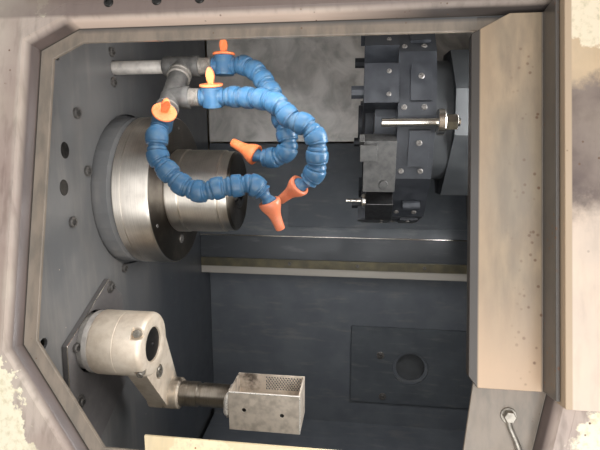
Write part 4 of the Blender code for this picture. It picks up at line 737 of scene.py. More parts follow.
turret_steel = plain_metal("turret_phosphated_steel", "#282A2E", "#383A3E", 0.42, 13.0, 0.3)
housing_steel = plain_metal("housing_phosphated_steel", "#333537", "#414344", 0.46, 24.0, 0.2)
tool_steel = plain_metal("ground_tool_steel", "#4A4947", "#363637", 0.42, 8.0, 0.5)
bright_steel = plain_metal("ground_bright_steel", "#E8E4DC", "#C4BDB2", 0.14, 10.0, 1.0, 0.01, 0.8)
screw_steel = plain_metal("zinc_screw_steel", "#77736F", "#4C4A47", 0.36, 3.0, 0.5)
latch_steel = plain_metal("zinc_latch_steel", "#A39C91", "#6F695F", 0.34, 4.0, 0.6)
ring_steel = plain_metal("turned_fitting_steel", "#99938B", "#6B6762", 0.36, 5.0, 0.5)
black_screw = plain_metal("black_oxide_screw", "#4B4947", "#2E2D2C", 0.36, 3.0)
collet_oxide = plain_metal("black_oxide_collet", "#383736", "#565350", 0.34, 6.0, 0.8)
olive_strip = plain_metal("brass_strip_oiled", "#6E6A5C", "#8D8366", 0.34, 18.0, 0.7)
drill_steel = plain_metal("oiled_tool_steel", "#6C6B6B", "#4C4C4D", 0.36, 8.0)
cast_iron = plain_metal("grey_cast_iron", "#5C5E60", "#707274", 0.58, 20.0, 0.35, 0.12, 2.6)
weld_steel = plain_metal("weld_bead", "#FFF8EE", "#C9C0B4", 0.30, 2.0, 0.4, 0.2, 1.4)
print("metals ready")

# %% [markdown]
# ## Plastics, rubber and glass
#
# The hose segments, valves and nozzles are moulded acetal: smooth, slightly waxy, with a soft highlight. Light
# goes a little way into it, so the blue looks full even in shade. Coolant leaves a thin grey film in the grooves.

# %% Plastics, rubber and glass
def moulded(name, colour, dirty, roughness=0.30, share=0.35, size=7.0, scatter=0.06):
    """A moulded plastic with a thin film of dried coolant in patches."""
    material, tree, shader, at = start_finish(name, colour, roughness, Subsurface_Weight=scatter,
                                              Subsurface_Scale=0.002)
    film = cloud(tree, at, size, 0.42, 0.75, detail=5.0)
    tone = blend(tree, level(tree, film, 0.0, share), colour, dirty)
    wire(tree, shader, tone, level(tree, film, roughness - 0.04, roughness + 0.16),
         height=grain(tree, at, 0.9), depth=0.015)
    return material


blue_acetal = moulded("blue_acetal", "#315674", "#5A6C78", 0.32, 0.5)
orange_acetal = moulded("orange_acetal", "#E2794A", "#B4663F")
dull_orange = moulded("orange_acetal_wet", "#C26F4F", "#8E5942", 0.34)
red_plastic = moulded("red_polyamide", "#B3231C", "#8A1E18", 0.32, 0.2)
key_plastic = moulded("key_polycarbonate", "#C9C6BE", "#A19D94", 0.42, 0.3)
rubber = moulded("drive_belt_rubber", "#232324", "#3A3937", 0.62, 0.5, 12.0, 0.0)
window_glass, glass_tree, glass, glass_at = start_finish(
    "laminated_window", "#C9D4CF", 0.06, Transmission_Weight=0.92, IOR=1.5)
wire(glass_tree, glass, None, level(glass_tree, cloud(glass_tree, glass_at, 30, 0.4, 0.8), 0.04, 0.16))
screen_glass, screen_tree, screen, screen_at = start_finish("screen_glass", "#0F1414", 0.12, Coat_Weight=0.6)
wire(screen_tree, screen, None, level(screen_tree, cloud(screen_tree, screen_at, 24), 0.08, 0.22))
print(len(bpy.data.materials), "finishes in all")

# %% [markdown]
# ## The enclosure and the chamber's sheet metal
#
# Folded sheet parts are flat faces with tight bends, which the CAD already has. Each is copied, merged into flat
# faces and given a narrow bevel, so that its edges shine where the paint is thin, and the copy takes its finish.

# %% Sheet metal
for node, finish, bevel in (
        ("sill_strip", sill_enamel, 0.7), ("lower_front_cover", outer_enamel, 1.0),
        ("left_end_cover", outer_enamel, 1.2), ("right_end_cover", outer_enamel, 1.2),
        ("roof_cover", outer_enamel, 1.0), ("electrical_cabinet", outer_enamel, 1.0),
        ("cabinet_door", outer_enamel, 1.2), ("door_panel", door_enamel, 0.9),
        ("door_post", tan_enamel, 0.8), ("left_wall_plate", wall_enamel, 0.5), ("back_panel", stainless, 0.5),
        ("way_cover", beam_sheet, 0.7), ("saddle_cover", guard_sheet, 0.4), ("chute", chute_sheet, 0.6),
        ("access_plate", guard_sheet, 0.6), ("hex_plate", hex_sheet, 0.8), ("wiper_strip", olive_strip, 0.6),
        ("coolant_tank", machine_enamel, 1.4), ("control_panel", machine_enamel, 2.2),
        ("door_window", window_glass, 0.4)):
    dress(node, finish, bevel)

# %% [markdown]
# ## Front cover and its opening
#
# The front's opening is folded in: a soft bend from the front face, a return 20 mm deep and a narrow flange that
# the door's seal meets. The bend shows as a soft highlight, so the fold's section is a short list of distance in
# from the edge and distance forward, carried round the opening's seven corners. The plain face round it is a plate
# with a hole. A second flange, set back, faces the door's post. A thin bright steel wire along the post's lower edge
# is a painted highlight.

# %% Front cover
OPENING = ((-248, -245), (128, -245), (150, -150), (150, 172), (-288, 172), (-330, 150), (-330, -140))
BEND_RADIUS = 6.0
BEND = [(3 - BEND_RADIUS * math.sin(math.radians(a)), 14 + BEND_RADIUS * math.sin(math.radians(a)))
        for a in (90, 70, 50, 30, 12)]
FOLD = [(-12, 17), (-12, 20), *BEND, (3, 13), (3, 0.9), (3.3, 0.2), (4.2, -0.2), (15.2, -0.2), (16, -0.9), (16, -3.2),
        (2, -3.2), (0.4, -2.4), (0, -1), (0, 14), (-2, 16.6), (-4, 17)]


def carved(name, solids, cutters):
    """The union of some closed shells, less others: Blender's exact Boolean run once and kept as plain mesh."""
    objects = [placed(f"{name}_{index}", mesh_of(f"{name}_{index}", surfaces))
               for index, surfaces in enumerate([*solids, *cutters])]
    first = objects[0]
    for index, other in enumerate(objects[1:], 1):
        step = first.modifiers.new("join" if index < len(solids) else "cut", "BOOLEAN")
        step.operation = "UNION" if index < len(solids) else "DIFFERENCE"
        step.object = other
        step.solver = "EXACT"
    bpy.context.view_layer.update()
    result = bpy.data.meshes.new_from_object(first.evaluated_get(bpy.context.evaluated_depsgraph_get()))
    result.name = name
    for item in objects:
        bpy.data.objects.remove(item, do_unlink=True)
    result.materials.clear()
    return cleaned(result, True, CUT_DOUBLES)


face = carved("front_face", [[plate([(-559.7, -262), (699.7, -262), (699.7, 500), (-559.7, 500)], 17, 20, FRONT)]],
              [[plate(inset(OPENING, -11.9), 10, 30, FRONT)]])
settle("front_face", face, front_enamel, "machine", ("front_cover",), 0.7, 28)
rings = np.array([on(FRONT, np.column_stack([inset(OPENING, distance), np.full(len(OPENING), forward)]))
                  for distance, forward in FOLD])
make("opening_fold", [grid(rings, close_rows=True)], front_enamel, slot="cream_paint", sharp=34)
recess = [(80, -244), (127, -244), (149, -150), (149, 171), (88, 171), (88, -145), (80, -205)]
make("recessed_flange", [plate(recess, -3, 0, FRONT)], front_enamel, slot="cream_paint", bevel=0.7)
make("door_rail", [block(FRONT, (-340, 195, 18), (695, 203, 37))], front_enamel, slot="cream_paint", bevel=0.8)
bolt_head = turned(on(FRONT, (116, -174, 0)), OUT[0], [
    (-0.5, 0), (-0.5, 6.6), (0.8, 6.6), (1.2, 6.2), (1.2, 4.4, 1), (5.2, 4.4, 1), (6.0, 3.8, 1), (6.0, 0, 1)], 36)
bolt_arm = [on(FRONT, point) for point in ((115, -176, 1.5), (117, -184, 2.4), (121, -193, 3.2), (124, -201, 3.0),
                                           (125, -210, 1.6))]
make("latch_bolt", [bolt_head, swept(bolt_arm, [2.4, 2.2, 2.2, 2.6, 2.0], 14)], latch_steel, sharp=40)

POST_WEB = 139.0     # the post's front face ends here, and its web starts
corners = np.array([corner.co for corner in frame["nodes"]["door_post"].data.vertices]) / MM
corners = (corners - np.array(FRONT[0])) @ np.array(FRONT[1]).T
corners = corners[corners[:, 0] < POST_WEB]
corners = corners[corners[:, 2] > corners[:, 2].max() - 1.0]
corners = corners[corners[:, 1] < corners[:, 1].min() + 1.0]
# A bright steel wire along the post's lower edge: a painted highlight.
highlight_line = [on(FRONT, (x, corners[0, 1] + 0.4, corners[0, 2] - 0.3))
             for x in (corners[:, 0].min(), corners[:, 0].max())]
make("post_highlight_line", [swept(highlight_line, [0.9, 0.9], 10, HIGH[0])], bright_steel, body="door")
print("post's lower edge from", highlight_line[0].round(1), "to", highlight_line[1].round(1))
print("front face and its folded opening,", len(FOLD), "points in the fold's section")

# %% [markdown]
# ## Castings and hidden works
#
# The bed, headstock and slides are grey iron castings, seen only when the covers are off. Their edges are broad
# and soft, so a wider bevel suits them. The rails, screws, cartridge and belt keep their CAD shape.

# %% Castings and works
for node, finish, bevel in (("bed_casting", cast_iron, 3.0), ("headstock_casting", cast_iron, 2.5),
                            ("saddle", cast_iron, 1.5), ("cross_slide", housing_steel, 1.6),
                            ("spindle_motor", machine_enamel, 1.0)):
    dress(node, finish, bevel)
paint(bright_steel, "way_rail_lower", "way_rail_upper")
paint(wall_enamel, "spindle_cartridge")
paint(rubber, "drive_belt")
paint(cast_iron, "spindle_pulley", "motor_pulley")
for node, low, high, radius, centre, axis in (("z_ball_screw", -340, 705, 16.0, (0, 100, 60), SLIDE[1][0]),
                                              ("x_ball_screw", -128, 114, 10.0, (290, 0, 228), SLIDE[1][1])):
    make(f"threaded_{node}", [cylinder(tuple(on(SLIDE, centre)), axis, low, high, radius, 32,
                                       (low + 30, high - 30, 10.0, 2.0))], bright_steel, node)
print("works finished")

# %% [markdown]
# ## Spindle ring and collet chuck
#
# The ring on the spindle nose and the chuck's hood are turned from one centre line, with narrow grooves and
# chamfers where the tool stopped. Their profiles are short lists of distance and radius. The ring's front
# face carries a large socket screw in a counterbore and a small pin.

# %% Spindle ring and chuck
def socket_screw(centre, axis, radius, height, sunk=0.3, washer=0.0):
    """A cap screw: a chamfered round head whose socket is a hexagon, on a washer where it has one."""
    shells = []
    if washer:
        shells.append(turned(centre, axis, [(-sunk, 0), (-sunk, washer), (0.9, washer), (1.2, washer - 0.4),
                                            (1.2, radius * 0.5), (0.5, 0)], 28))
        sunk = -1.0
        height += 1.2
    shells.append(turned(centre, axis, [(-sunk, 0), (-sunk, radius), (height - 0.8, radius),
                                        (height, radius - 0.8), (height, radius * 0.50, 1.0),
                                        (height * 0.35, radius * 0.46, 1.0), (height * 0.35, 0, 1.0)], 24))
    return shells


make("spindle_ring", [turned(SPINDLE, RIGHT, [
    (-261, 27), (-261, 97), (-261.6, 98.4), (-263.4, 99.7), (-264.4, 100), (-295.2, 100), (-295.8, 99.3),
    (-296.2, 99.3), (-296.8, 100), (-305.4, 100), (-307, 98.6), (-307, 61.5), (-716, 61.5), (-716, 50), (-800, 50),
    (-800, 74), (-865, 74), (-865, 40), (-880, 40), (-880, 27)], 160)], spindle_steel, "spindle", sharp=25)
make("chuck_hood", [turned(SPINDLE, RIGHT, [
    (-176, 24.4), (-176, 51.2), (-176.6, 52.2), (-178.2, 53.7), (-179, 54), (-189.6, 54), (-190.4, 53.2),
    (-191.2, 53.2), (-191.8, 55.4), (-192.8, 56), (-240.6, 56), (-241.4, 55.0), (-242.4, 55.0), (-243, 56.4),
    (-244, 57), (-258.6, 57), (-260.7, 55.6), (-260.7, 24.4)], 128)], nose_steel, "collet_chuck", sharp=25)
dress("collet", collet_oxide, 0.4)
ring_screws = []
for turn in (0, 120, 240):
    for reach, angle, radius, height in ((68.2, 29.7, 6.5, 1.6), (86.0, 205.4, 2.6, 1.2)):
        a = math.radians(angle + turn)
        y, z = SPINDLE[1] + reach * math.cos(a), SPINDLE[2] + reach * math.sin(a)
        ring_screws += socket_screw((-261, y, z), RIGHT, radius, height)
make("ring_screws", ring_screws, screw_steel, body="spindle", sharp=40)
print("spindle ring radius 100 and hood radius 56")

# %% [markdown]
# ## Coolant pipe, tees and valves
#
# A drawn steel pipe leaves the wall and meets two cast tees, with a turned ring and a threaded end at every
# branch. Each thread is a real helix: the radius rises and falls once for each pitch along the pipe and its phase
# turns with the angle. The shut-off valves are blue mouldings with an orange quarter-turn lever.

# %% Coolant pipe and tees
TEE = np.array((-238.0, -308.0, 1211.0))
LEG = unit((0, -1, -1))
TEE_LOW = TEE + LEG * 60
PIPE = TEE - (TEE[0], 0, 0)
make("coolant_pipe", [cylinder(PIPE, RIGHT, -339, -264, 8.5, 40)], pipe_steel, sharp=50)
rings = [
    turned(PIPE, RIGHT, [(-215.5, 0), (-215.5, 10.5), (-199.9, 10.5), (-199.3, 9.8), (-199.3, 0)], 48,
           helix=(-213.5, -200.6, 1.9, 0.9)),
    turned(TEE_LOW, RIGHT, [(20, 0), (20, 10.5), (35.1, 10.5), (35.7, 9.8), (35.7, 0)], 48,
           helix=(24.5, 34.4, 1.9, 0.9)),
    turned(TEE, LEG, [(70, 0), (70, 10.5), (84.1, 10.5), (84.7, 9.8), (84.7, 0)], 48, helix=(79.5, 83.9, 1.9, 0.9)),
    turned(TEE, LEG, [(13.6, 0), (13.6, 13.6), (14.2, 14.4), (16.6, 14.5), (17.2, 13.4), (18.6, 13.4), (19.2, 14.4),
                      (23.4, 14.5), (24.2, 13.4), (24.2, 0)], 48),
    turned(TEE, LEG, [(76.5, 0), (76.5, 12.6), (77.1, 13.4), (79.1, 13.4), (79.7, 12.4), (79.7, 0)], 48)]
make("coolant_rings", rings, ring_steel, sharp=50)
tees = [
    turned(PIPE, RIGHT, [(-263, 0), (-263, 10.4), (-262, 12.2), (-260.5, 13), (-253, 13), (-251, 12.2), (-225, 12.2),
                         (-223, 13), (-217, 13), (-215.8, 12.2), (-215.8, 0)], 48),
    turned(TEE, LEG, [(0, 0), (0, 12.4), (40, 12.4), (44, 12.0), (77, 12.0), (77, 0)], 48),
    turned(TEE_LOW, RIGHT, [(-12, 0), (-11, 7), (-4, 11.6), (0, 12.2), (14, 12.2), (16, 13), (22.8, 13), (24, 12.2),
                            (24, 0)], 48)]
make("coolant_tees", tees, fitting_steel, "coolant_manifold", sharp=50)
print("pipe radius 8.5, thread pitch 1.9, branches 60 mm apart down the leg")

# %% Valves and levers
VALVES = ((np.array((-184.0, -308.0, 1211.0)), unit(RIGHT), unit((0, 0, 1))),
          (np.array((-187.0, TEE_LOW[1], TEE_LOW[2])), unit(RIGHT), unit((0, -0.25, 1))),
          (TEE + LEG * 100, LEG, unit((0.45, -0.63, 0.63))))
share = np.linspace(0.0, 1.0, 15)
half = np.interp(share * 20, (0, 3, 9, 13, 16.5, 19, 20), (3.4, 3.5, 5.0, 4.7, 3.4, 1.6, 0.3))
leaf = np.stack([[*half, *-half[::-1]], np.array([*share, *share[::-1]]) * 19.9 + 2.0], 1)
for number, (centre, flow, axis) in enumerate(VALVES, 1):
    body = [turned(centre, flow, [(-15, 0), (-15, 9.4), (-14.4, 10.2), (-12.2, 10.2), (-11.6, 9.3), (11.6, 9.3),
                                  (12.2, 10.2), (14.4, 10.2), (15, 9.4), (15, 0)], 40),
            turned(centre, axis, [(-12, 0), (-12, 11.2), (-11.2, 12.3), (-9.2, 12.5), (-8.8, 12.0), (8.4, 12.0),
                                  (8.8, 12.5), (11.5, 12.5), (12, 12.0), (12, 0)], 48)]
    make(f"valve_{number}", body, blue_acetal, f"valve_body_{number}", sharp=40)
    turn = np.array(Vector(axis).to_track_quat("Z", "Y").to_matrix())
    fin = (centre + axis * 12.3, (turn[:, 0], axis, -turn[:, 1]))
    lever = [turned(centre, axis, [(12.3, 0), (12.3, 13.0), (12.9, 13.9), (14.4, 14.0), (15.2, 13.3), (15.3, 8.0),
                                   (15.7, 6.5), (15.7, 0)], 48),
             plate(leaf, -2.25, 2.25, fin)]
    make(f"lever_{number}", lever, orange_acetal, f"valve_lever_{number}", bevel=0.9, sharp=40, segments=3)
print("three valves with their levers")

# %% [markdown]
# ## Jointed coolant hoses
#
# The hoses are chains of moulded ball-and-socket segments that stay where they are bent, so they stand up by
# themselves, and are rigid parts here, not free cords. The path is a Catmull-Rom curve through listed points.
# The segment's profile is repeated along it: a ball end, a waist, a cup and two fine collar lines. The nozzles are
# turned cones whose cups hold the last ball.

# %% Hoses and nozzles
HOSE_POINTS = (
    [(-140, -320, 1201), (-126, -331, 1185), (-114, -342, 1167), (-105, -351, 1147), (-98, -356, 1128),
     (-95, -358, 1110), (-107, -353, 1099.5), (-126, -348, 1097.5), (-138, -344, 1101)],
    [(-138, -361, 1166), (-115, -373, 1162), (-100, -381, 1154), (-87, -386, 1140), (-70, -389, 1133),
     (-59, -390, 1118), (-58.5, -388, 1102), (-60, -383, 1086), (-70, -378, 1072), (-80, -375, 1067)],
    [(-235, -402, 1099), (-221, -406, 1082), (-204, -408, 1068), (-184, -408, 1062), (-165, -405, 1066),
     (-148, -401, 1068), (-131, -397, 1070), (-119, -394, 1061), (-111, -393, 1049)])
NOZZLE_WAYS = ((-32, 8, 16), (-22, 13, -17), (6, 4, -17))
BEAD = ((0.00, .74), (0.02, .72), (0.05, .76), (0.10, .83), (0.16, .87), (0.22, .87), (0.26, .84), (0.285, .815),
        (0.30, .84), (0.32, .93), (0.34, .965), (0.39, .985), (0.48, 1.0), (0.60, 1.0), (0.72, .985), (0.80, .96),
        (0.815, .925), (0.83, .95), (0.87, .94), (0.90, .925), (0.91, .85), (0.93, .76), (0.96, .735))
NECK_AND_BALL = ((-13.5, .86), (-12.4, .66), (-10.8, .52), (-9, .47), (-7.2, .455), (-5.6, .51), (-4.2, .60),
                 (-2.8, .65), (-1.4, .68), (0.0, .685), (1.6, .672), (3.0, .64), (4.6, .58), (5.8, .51), (7.0, .40),
                 (7.6, .33))


def smooth_path(points, steps=16):
    """A Catmull-Rom curve: each stretch is a cubic in t whose slope at a point joins its two neighbours."""
    p = np.array(points, float)
    p = np.concatenate([[p[0] * 2 - p[1]], p, [p[-1] * 2 - p[-2]]])
    a, b, c, d = (p[i:len(p) - 3 + i, None] for i in range(4))
    t = (np.arange(steps) / steps)[None, :, None]
    curve = (b * 2 + (c - a) * t + (a * 2 - b * 5 + c * 4 - d) * t ** 2 + (b * 3 - a - c * 3 + d) * t ** 3) / 2
    return np.concatenate([curve.reshape(-1, 3), [p[-2]]])


def measured(path):
    """How far each point of a path lies from its start."""
    return np.concatenate([[0.0], np.cumsum(np.linalg.norm(np.diff(path, axis=0), axis=1))])


BEAD_RADIUS, BEAD_PITCH, NECK = 12.7, 20.0, 16.0
for number, ((centre, flow, axis), points, way) in enumerate(zip(VALVES, HOSE_POINTS, NOZZLE_WAYS), 1):
    start = centre + flow * 15.3
    path = np.concatenate([[start], smooth_path([start + flow * 10, *points])])
    ball, length = path[-1], measured(path)[-1]
    path = np.concatenate([path, [ball + unit(ball - path[-2]) * 12]])
    beads = round((length - NECK) / BEAD_PITCH)
    share, swell = np.array(BEAD).T
    past_ball, narrow = np.array(NECK_AND_BALL).T
    stations = ((length - NECK) / beads * (np.arange(beads)[:, None] + share)).ravel()
    stations = np.concatenate([stations, length + past_ball])
    radii = np.concatenate([np.tile(swell, beads), narrow]) * BEAD_RADIUS
    places = np.stack([np.interp(stations, measured(path), path[:, i]) for i in range(3)], 1)
    make(f"hose_segments_{number}", [swept(places, radii, 32)], blue_acetal, f"hose_{number}", sharp=60)
    cup = [(9.4 * math.sin(math.radians(a)), 9.4 * math.cos(math.radians(a))) for a in (-14, 2, 18, 33, 48, 62, 76)]
    cone = [(34, 3.0), (34, 4.9), (33.3, 5.5), (26, 5.9), (18, 6.7), (13, 8.1), (8.5, 10.3), (5, 11.8), (2, 12.5),
            (-0.4, 12.7), (-1.5, 12.4), (-2.3, 11.6), *cup, (9.5, 3.0)]
    make(f"nozzle_cone_{number}", [turned(ball, unit(way), cone, 40)], orange_acetal if number == 1 else dull_orange,
         f"nozzle_{number}", sharp=50)
    print("hose", number, "is", round(float(length)), "mm long with", beads, "segments")

# %% [markdown]
# ## Parts catcher
#
# Finished parts drop into a small sheet bucket that swings up on a cast lever. The lever is a casting with a bored
# hub, so it is built from turned and flat shells, joined and cut with Boolean operations, and bevelled all round
# as a blasted casting is. The bucket's back is punched with diamond holes that let the coolant out.

# %% Parts catcher
def tangent_link(y0, z0, r0, y1, z1, r1, steps):
    """Two round ends joined by their outer tangents, each with a number of points."""
    reach, heading = math.hypot(y1 - y0, z1 - z0), math.atan2(z1 - z0, y1 - y0)
    spread = math.acos((r0 - r1) / reach)
    near = np.linspace(heading + spread, heading + 2 * math.pi - spread, steps)
    far = np.linspace(heading - spread, heading + spread, steps)
    return np.concatenate([np.stack([y0 + r0 * np.cos(near), z0 + r0 * np.sin(near)], 1),
                           np.stack([y1 + r1 * np.cos(far), z1 + r1 * np.sin(far)], 1)])


hub = [turned(CATCHER, RIGHT, [
    (-268.5, 0), (-268.5, 20.5), (-249.3, 20.5), (-248.5, 21.6), (-248.5, 33), (-249, 34.8), (-250.2, 36.2),
    (-252, 37.2), (-254, 37.6), (-280.6, 37.6), (-281, 37.2), (-281.6, 37.2), (-282, 37.6), (-310, 37.6),
    (-311.4, 37), (-312, 35.6), (-312, 20), (-341, 20), (-341, 0)], 72)]
web = [plate(tangent_link(CATCHER[1], CATCHER[2], 33.6, ROD[1], ROD[2], 20, 20), -275, -251, WALL)]
boss = [turned(ROD, RIGHT, [(-238, 0), (-238, 18), (-240, 20), (-278, 20), (-278, 0)], 48)]
cuts = [[cylinder(CATCHER, RIGHT, -268.5, -240, 20.4, 48)],
        [block(WALL, (-460, 899, -261), (-433, 911, -240))], [block(WALL, (-460, 851, -259), (-432, 861, -240))],
        [cylinder((-258, -394, 838), RIGHT, 0, 12, 9, 32)], [block(WALL, (-385, 768, -258.6), (-340, 782, -256.6))]]
settle("catcher_lever", carved("catcher_lever", [hub, web, boss], cuts), cast_aluminium, "catcher",
       ("catcher_arm",), 0.9, 40, 3)
make("catcher_shaft_end", [turned(CATCHER, RIGHT, [
    (-268.6, 0), (-268.6, 19.9), (-251.6, 19.9), (-250.8, 19.1), (-250.8, 3.4), (-252.5, 2.4),
    (-252.5, 0)], 48)], collet_oxide, body="catcher", slot="black_oxide")
bolts = socket_screw((-254, -394, 838), RIGHT, 7.4, 4.6)
bolts += socket_screw((-254.6, -438.5, 905), (0, -1, 0.3), 4.4, 1.6, sunk=6.0)
bolts += socket_screw((-253.6, -438.5, 856), (0, -1, -0.3), 4.0, 1.6, sunk=6.0)
make("catcher_bolt", bolts, latch_steel, body="catcher", sharp=40)
make("catcher_stem", [turned(ROD, RIGHT, [
    (-237.7, 0), (-237.7, 15.4), (-237, 16), (-229, 16), (-228.4, 15.5), (-226.6, 15.5), (-226, 16), (-215.4, 16),
    (-214.8, 15.2), (-214, 14), (-210, 14), (-209.2, 15), (-172.6, 15), (-172, 14.4), (-172, 12), (-165.3, 12),
    (-165.3, 0)], 56)], rod_oxide, "catcher_rod")
make("catcher_collar_ring", [turned(CATCHER, RIGHT, [
    (-312.4, 20.5), (-312.4, 35.4), (-313.2, 36.5), (-318.6, 36.5), (-319.2, 35.8), (-319.2, 33), (-343, 33),
    (-343, 20.5)], 72)], pipe_steel, "catcher_collar")

diamonds = []
for row in range(7):
    for column in range(13 - row % 2):
        x, z = -83.0 - 3.7 * (column + row % 2 / 2), 812.0 - 2.6 * row
        diamonds.append(plate(ellipse(x, z, 1.5, 4, 1.9), 338, 346, UPRIGHT))
RIVETS = ((-146, 793), (-99, 789))
bucket = carved("bucket", [[block(WALL, (-392, 766, -165), (-342, 816, -77))]],
                [[block(WALL, (-390, 768, -163), (-344, 830, -79))], diamonds,
                 [cylinder((x, -396, z), BACK[0], 0, 8, 2.7, 20) for x, z in RIVETS]])
settle("bucket", bucket, bucket_sheet, "catcher", ("catcher_bucket",), 0.5, 40)
rivets = [cylinder((x, -391.2, z), BACK[0], 0, 1, 2.6, 20) for x, z in RIVETS]
make("bucket_rivets", rivets, black_screw, body="catcher", slot="black_oxide", sharp=40)
# Two thin bright wires along the bucket's top and right edges are painted highlights. They share the weld's finish.
rim_highlights = [swept([(-164.6, -391.8, 815.6), (-77.4, -391.8, 815.6)], [0.8, 0.8], 10, HIGH[0]),
                swept([(-77.4, -391.8, 766.4), (-77.4, -391.8, 815.6)], [0.7, 0.7], 10)]


def weld_ring(centre, ring, thick, ripples):
    """A weld bead round a rod: a ring whose thickness swells with each drop of the weld."""
    around = np.linspace(0, 2 * np.pi, 72, endpoint=False)[:, None]
    section = np.linspace(0, 2 * np.pi, 12, endpoint=False)[None, :]
    size = thick * (1 + 0.16 * np.sin(around * ripples) + 0.14 * np.sin(around * 3 + 1.0))
    radius = ring + size * np.cos(section)
    points = np.stack([centre[0] + 0.9 * size * np.sin(section), centre[1] + radius * np.cos(around),
                       centre[2] + radius * np.sin(around)], -1)
    return grid(points, close_rows=True)


lump = swept([(-167.4, -385, 811), (-168, -386, 806), (-168.6, -386.6, 800), (-169, -387, 793), (-168.8, -387, 786),
              (-168.2, -386, 779)], [1.2, 3.4, 4.6, 3.9, 4.8, 2.0], 16)
make("catcher_weld_and_rim_highlights", [weld_ring((-168.5, ROD[1], ROD[2]), 13.2, 4.4, 13), lump, *rim_highlights], weld_steel,
     body="catcher", sharp=80)
print("bucket has", len(diamonds), "diamond holes")

# %% [markdown]
# ## Turret and its tools
#
# The turret is a phosphated steel disc with a tool block, clamping screws and pads at every station. The screws
# repeat at each station, so they are one shape placed by the station's own directions. The drill is a turned
# shape whose flutes are a long helix.

# %% Turret
dress("turret_disc", turret_steel, 0.9)
dress("turning_tool", tool_steel, 0.7)
clamps = []
for index in range(12):
    place = station(15 + 30 * index)
    spots = [(144.8, 29, 61, 3.4), (144.8, 29, 38, 3.4)]         # radial, down, along, radius
    if index != 10:
        spots.append((148.4, -7, 57, 3.6))
    if index not in (10, 11):
        spots += [(147.9, 18 if index % 2 else 14, 20, 2.8), (147.9, -14, 20, 2.8)]
    for radial, down, along, radius in spots:
        clamps += socket_screw(on(place, (radial, down, along)), place[1][0], radius, 1.6)
make("turret_screws", clamps, screw_steel, body="turret", sharp=40)

DISC_FLAT = 150 * math.cos(math.pi / 12)      # from the turret's axis to the middle of a flat
bar_centre = on(station(-3), ((DISC_FLAT + 5.3) / math.cos(math.radians(12)), 0, 0))
make("bright_bar", [
    turned(bar_centre, RIGHT, [(12, 0), (12, 4.4), (12.6, 5), (101, 5), (101, 0)], 40),
    turned(bar_centre, RIGHT, [(75.3, 0), (75.3, 14.2), (76.1, 15), (82.8, 15), (84, 13.8), (84, 0)], 48),
    turned(bar_centre, RIGHT, [(83.6, 0), (83.6, 8.4, 1), (97.2, 8.4, 1), (98, 7.6, 1), (98, 0)], 36)],
     bright_steel, "boring_bar", sharp=35)
drill_place = station(-45)
make("drill_block", [block(drill_place, (124.2, -8, -4), (162, 26, 30.7))], drill_steel, "drill_holder", bevel=0.8)
drill_line = on(drill_place, (150, 0, 0))
make("drill_chuck", [turned(drill_line, RIGHT, [(-10, 0), (-10, 6.4), (-8.6, 8.6), (-7.6, 9), (-3.4, 9), (-3.4, 0)],
                            36)], bright_steel, body="turret")
make("twist_drill", [turned(drill_line, RIGHT, [(-31, 0), (-29, 2.6), (-9, 2.6), (-9, 0)], 28,
                            helix=(-28.5, -13, 7.0, 0.7))], bright_steel, body="turret", sharp=40)
print(len(clamps), "clamping screws round the turret")

# %% [markdown]
# ## Screws in the chamber
#
# The wall plate, hexagonal plate, access plate and strip are held with cap screws, some on washers. They are
# placed on the plate that carries them. Two oval holes in the wall plate show dark behind. Thin bright wires along
# the hexagonal plate's rim and the guard's lip are painted highlights.

# %% Chamber screws
wall_screws, plate_screws, top_screws = [], [], []
for y, z in ((-315.1, 1229.5), (-315, 1192.6), (-401.2, 1148.1), (-388.3, 1082.5), (-425, 1027.7), (-317.7, 946.2)):
    wall_screws += socket_screw((-330, y, z), RIGHT, 6.2, 3.6)
for y, z, washer in ((-366.7, 934.5, 8.0), (-447.5, 888.3, 0.0), (-446.9, 822.3, 8.6)):
    plate_screws += socket_screw((-323.7, y, z), RIGHT, 5.2, 3.6, washer=washer)
for x, z in ((38.5, 675.2), (45.3, 582.3)):
    plate_screws += socket_screw((x, 36.7, z), (0, -1, 0), 5.0, 3.0, washer=8.2)
for x, z in ((-146.8, 881), (-13.4, 880.4), (113.3, 880.6), (330, 880.5)):
    plate_screws += socket_screw((x, -14.8, z), (0, -1, 0), 3.4, 1.6)
for x in (-247, -200, -159):
    top_screws += socket_screw(on(FRONT, (x, 184, 20)), OUT[0], 4.6, 1.4)
make("wall_screws", wall_screws, screw_steel, sharp=40)
plugs = [plate(ellipse(y, z, 7.6, 28, tall), -332.5, -329.7, WALL)
         for y, z, tall in ((-427, 1107, 9.2), (-434, 1067, 9.0))]
make("wall_plugs", plugs, collet_oxide, slot="black_oxide", bevel=0.5)
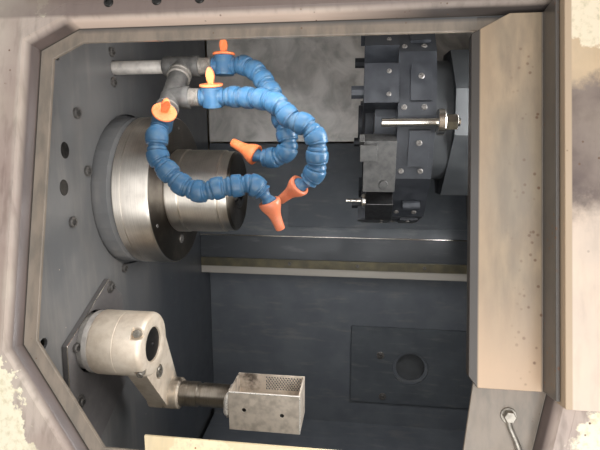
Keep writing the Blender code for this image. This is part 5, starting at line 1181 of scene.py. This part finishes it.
# A bright wire along the hexagonal plate's rim: a painted highlight.
hex_rim = [(-323.9, y, z) for y, z in ((-368, 945.6), (-461.7, 895.8), (-463.7, 835), (-420.8, 748.4))]
make("hex_plate_highlight", [swept(hex_rim, [0.6] * 4, 10, RIGHT)], bright_steel)
make("plate_screws", plate_screws, screw_steel, sharp=40)
make("top_screws", top_screws, black_screw, slot="black_oxide", sharp=40)
# A bright wire along the guard's lip: a painted highlight.
lip_line = np.stack([np.linspace(-329.5, 895.5, 60), np.full(60, -9.9), np.full(60, 935.2)], 1)
make("guard_lip_highlight", [swept(lip_line, np.full(60, 1.5), 12, HIGH[0])], bright_steel)
print("chamber screws placed")

# %% [markdown]
# ## Handle, control panel and emergency button
#
# The door is pulled by a bent black tube. The control panel on the right is plain: a dark screen, a field of keys
# with no lettering and a red mushroom button.

# %% Handle, keys and button
handle_bend = [(-70, 45.3), (-70, 70), (-68.4, 76), (-64, 80.6), (-58, 83), (58, 83), (64, 80.6), (68.4, 76), (70, 70),
               (70, 45.3)]
handle_path = smooth_path([on(FRONT, (216, up, out)) for up, out in handle_bend], 6)
make("handle_tube", [swept(handle_path, np.full(len(handle_path), 9.0), 24, RIGHT)], black_screw, "door_handle",
     sharp=50)
make("screen", [plate([(733, 1191), (867, 1191), (867, 1299), (733, 1299)], 595.2, 595.9, UPRIGHT)], screen_glass,
     slot="window_glass", bevel=0.2)
keys = []
for row in range(4):
    for column in range(9):
        x, z = 737.5 + 14.2 * column, 1115 + 15.2 * row
        keys.append(plate([(x, z), (x + 10.6, z), (x + 10.6, z + 10.4), (x, z + 10.4)], 596.2, 598.6, UPRIGHT))
make("keys", keys, key_plastic, slot="cream_paint", bevel=0.8, segments=3)
make("mushroom_button", [turned((850, 0, 1080), (0, -1, 0), [
    (585, 0), (585, 8), (606, 8), (606.6, 15.6), (607.4, 17), (615.6, 17), (617.8, 15.6), (619.4, 12), (620, 8),
    (620, 0)], 48)], red_plastic, "emergency_button", sharp=40)
print(len(keys), "keys, one button, no lettering")
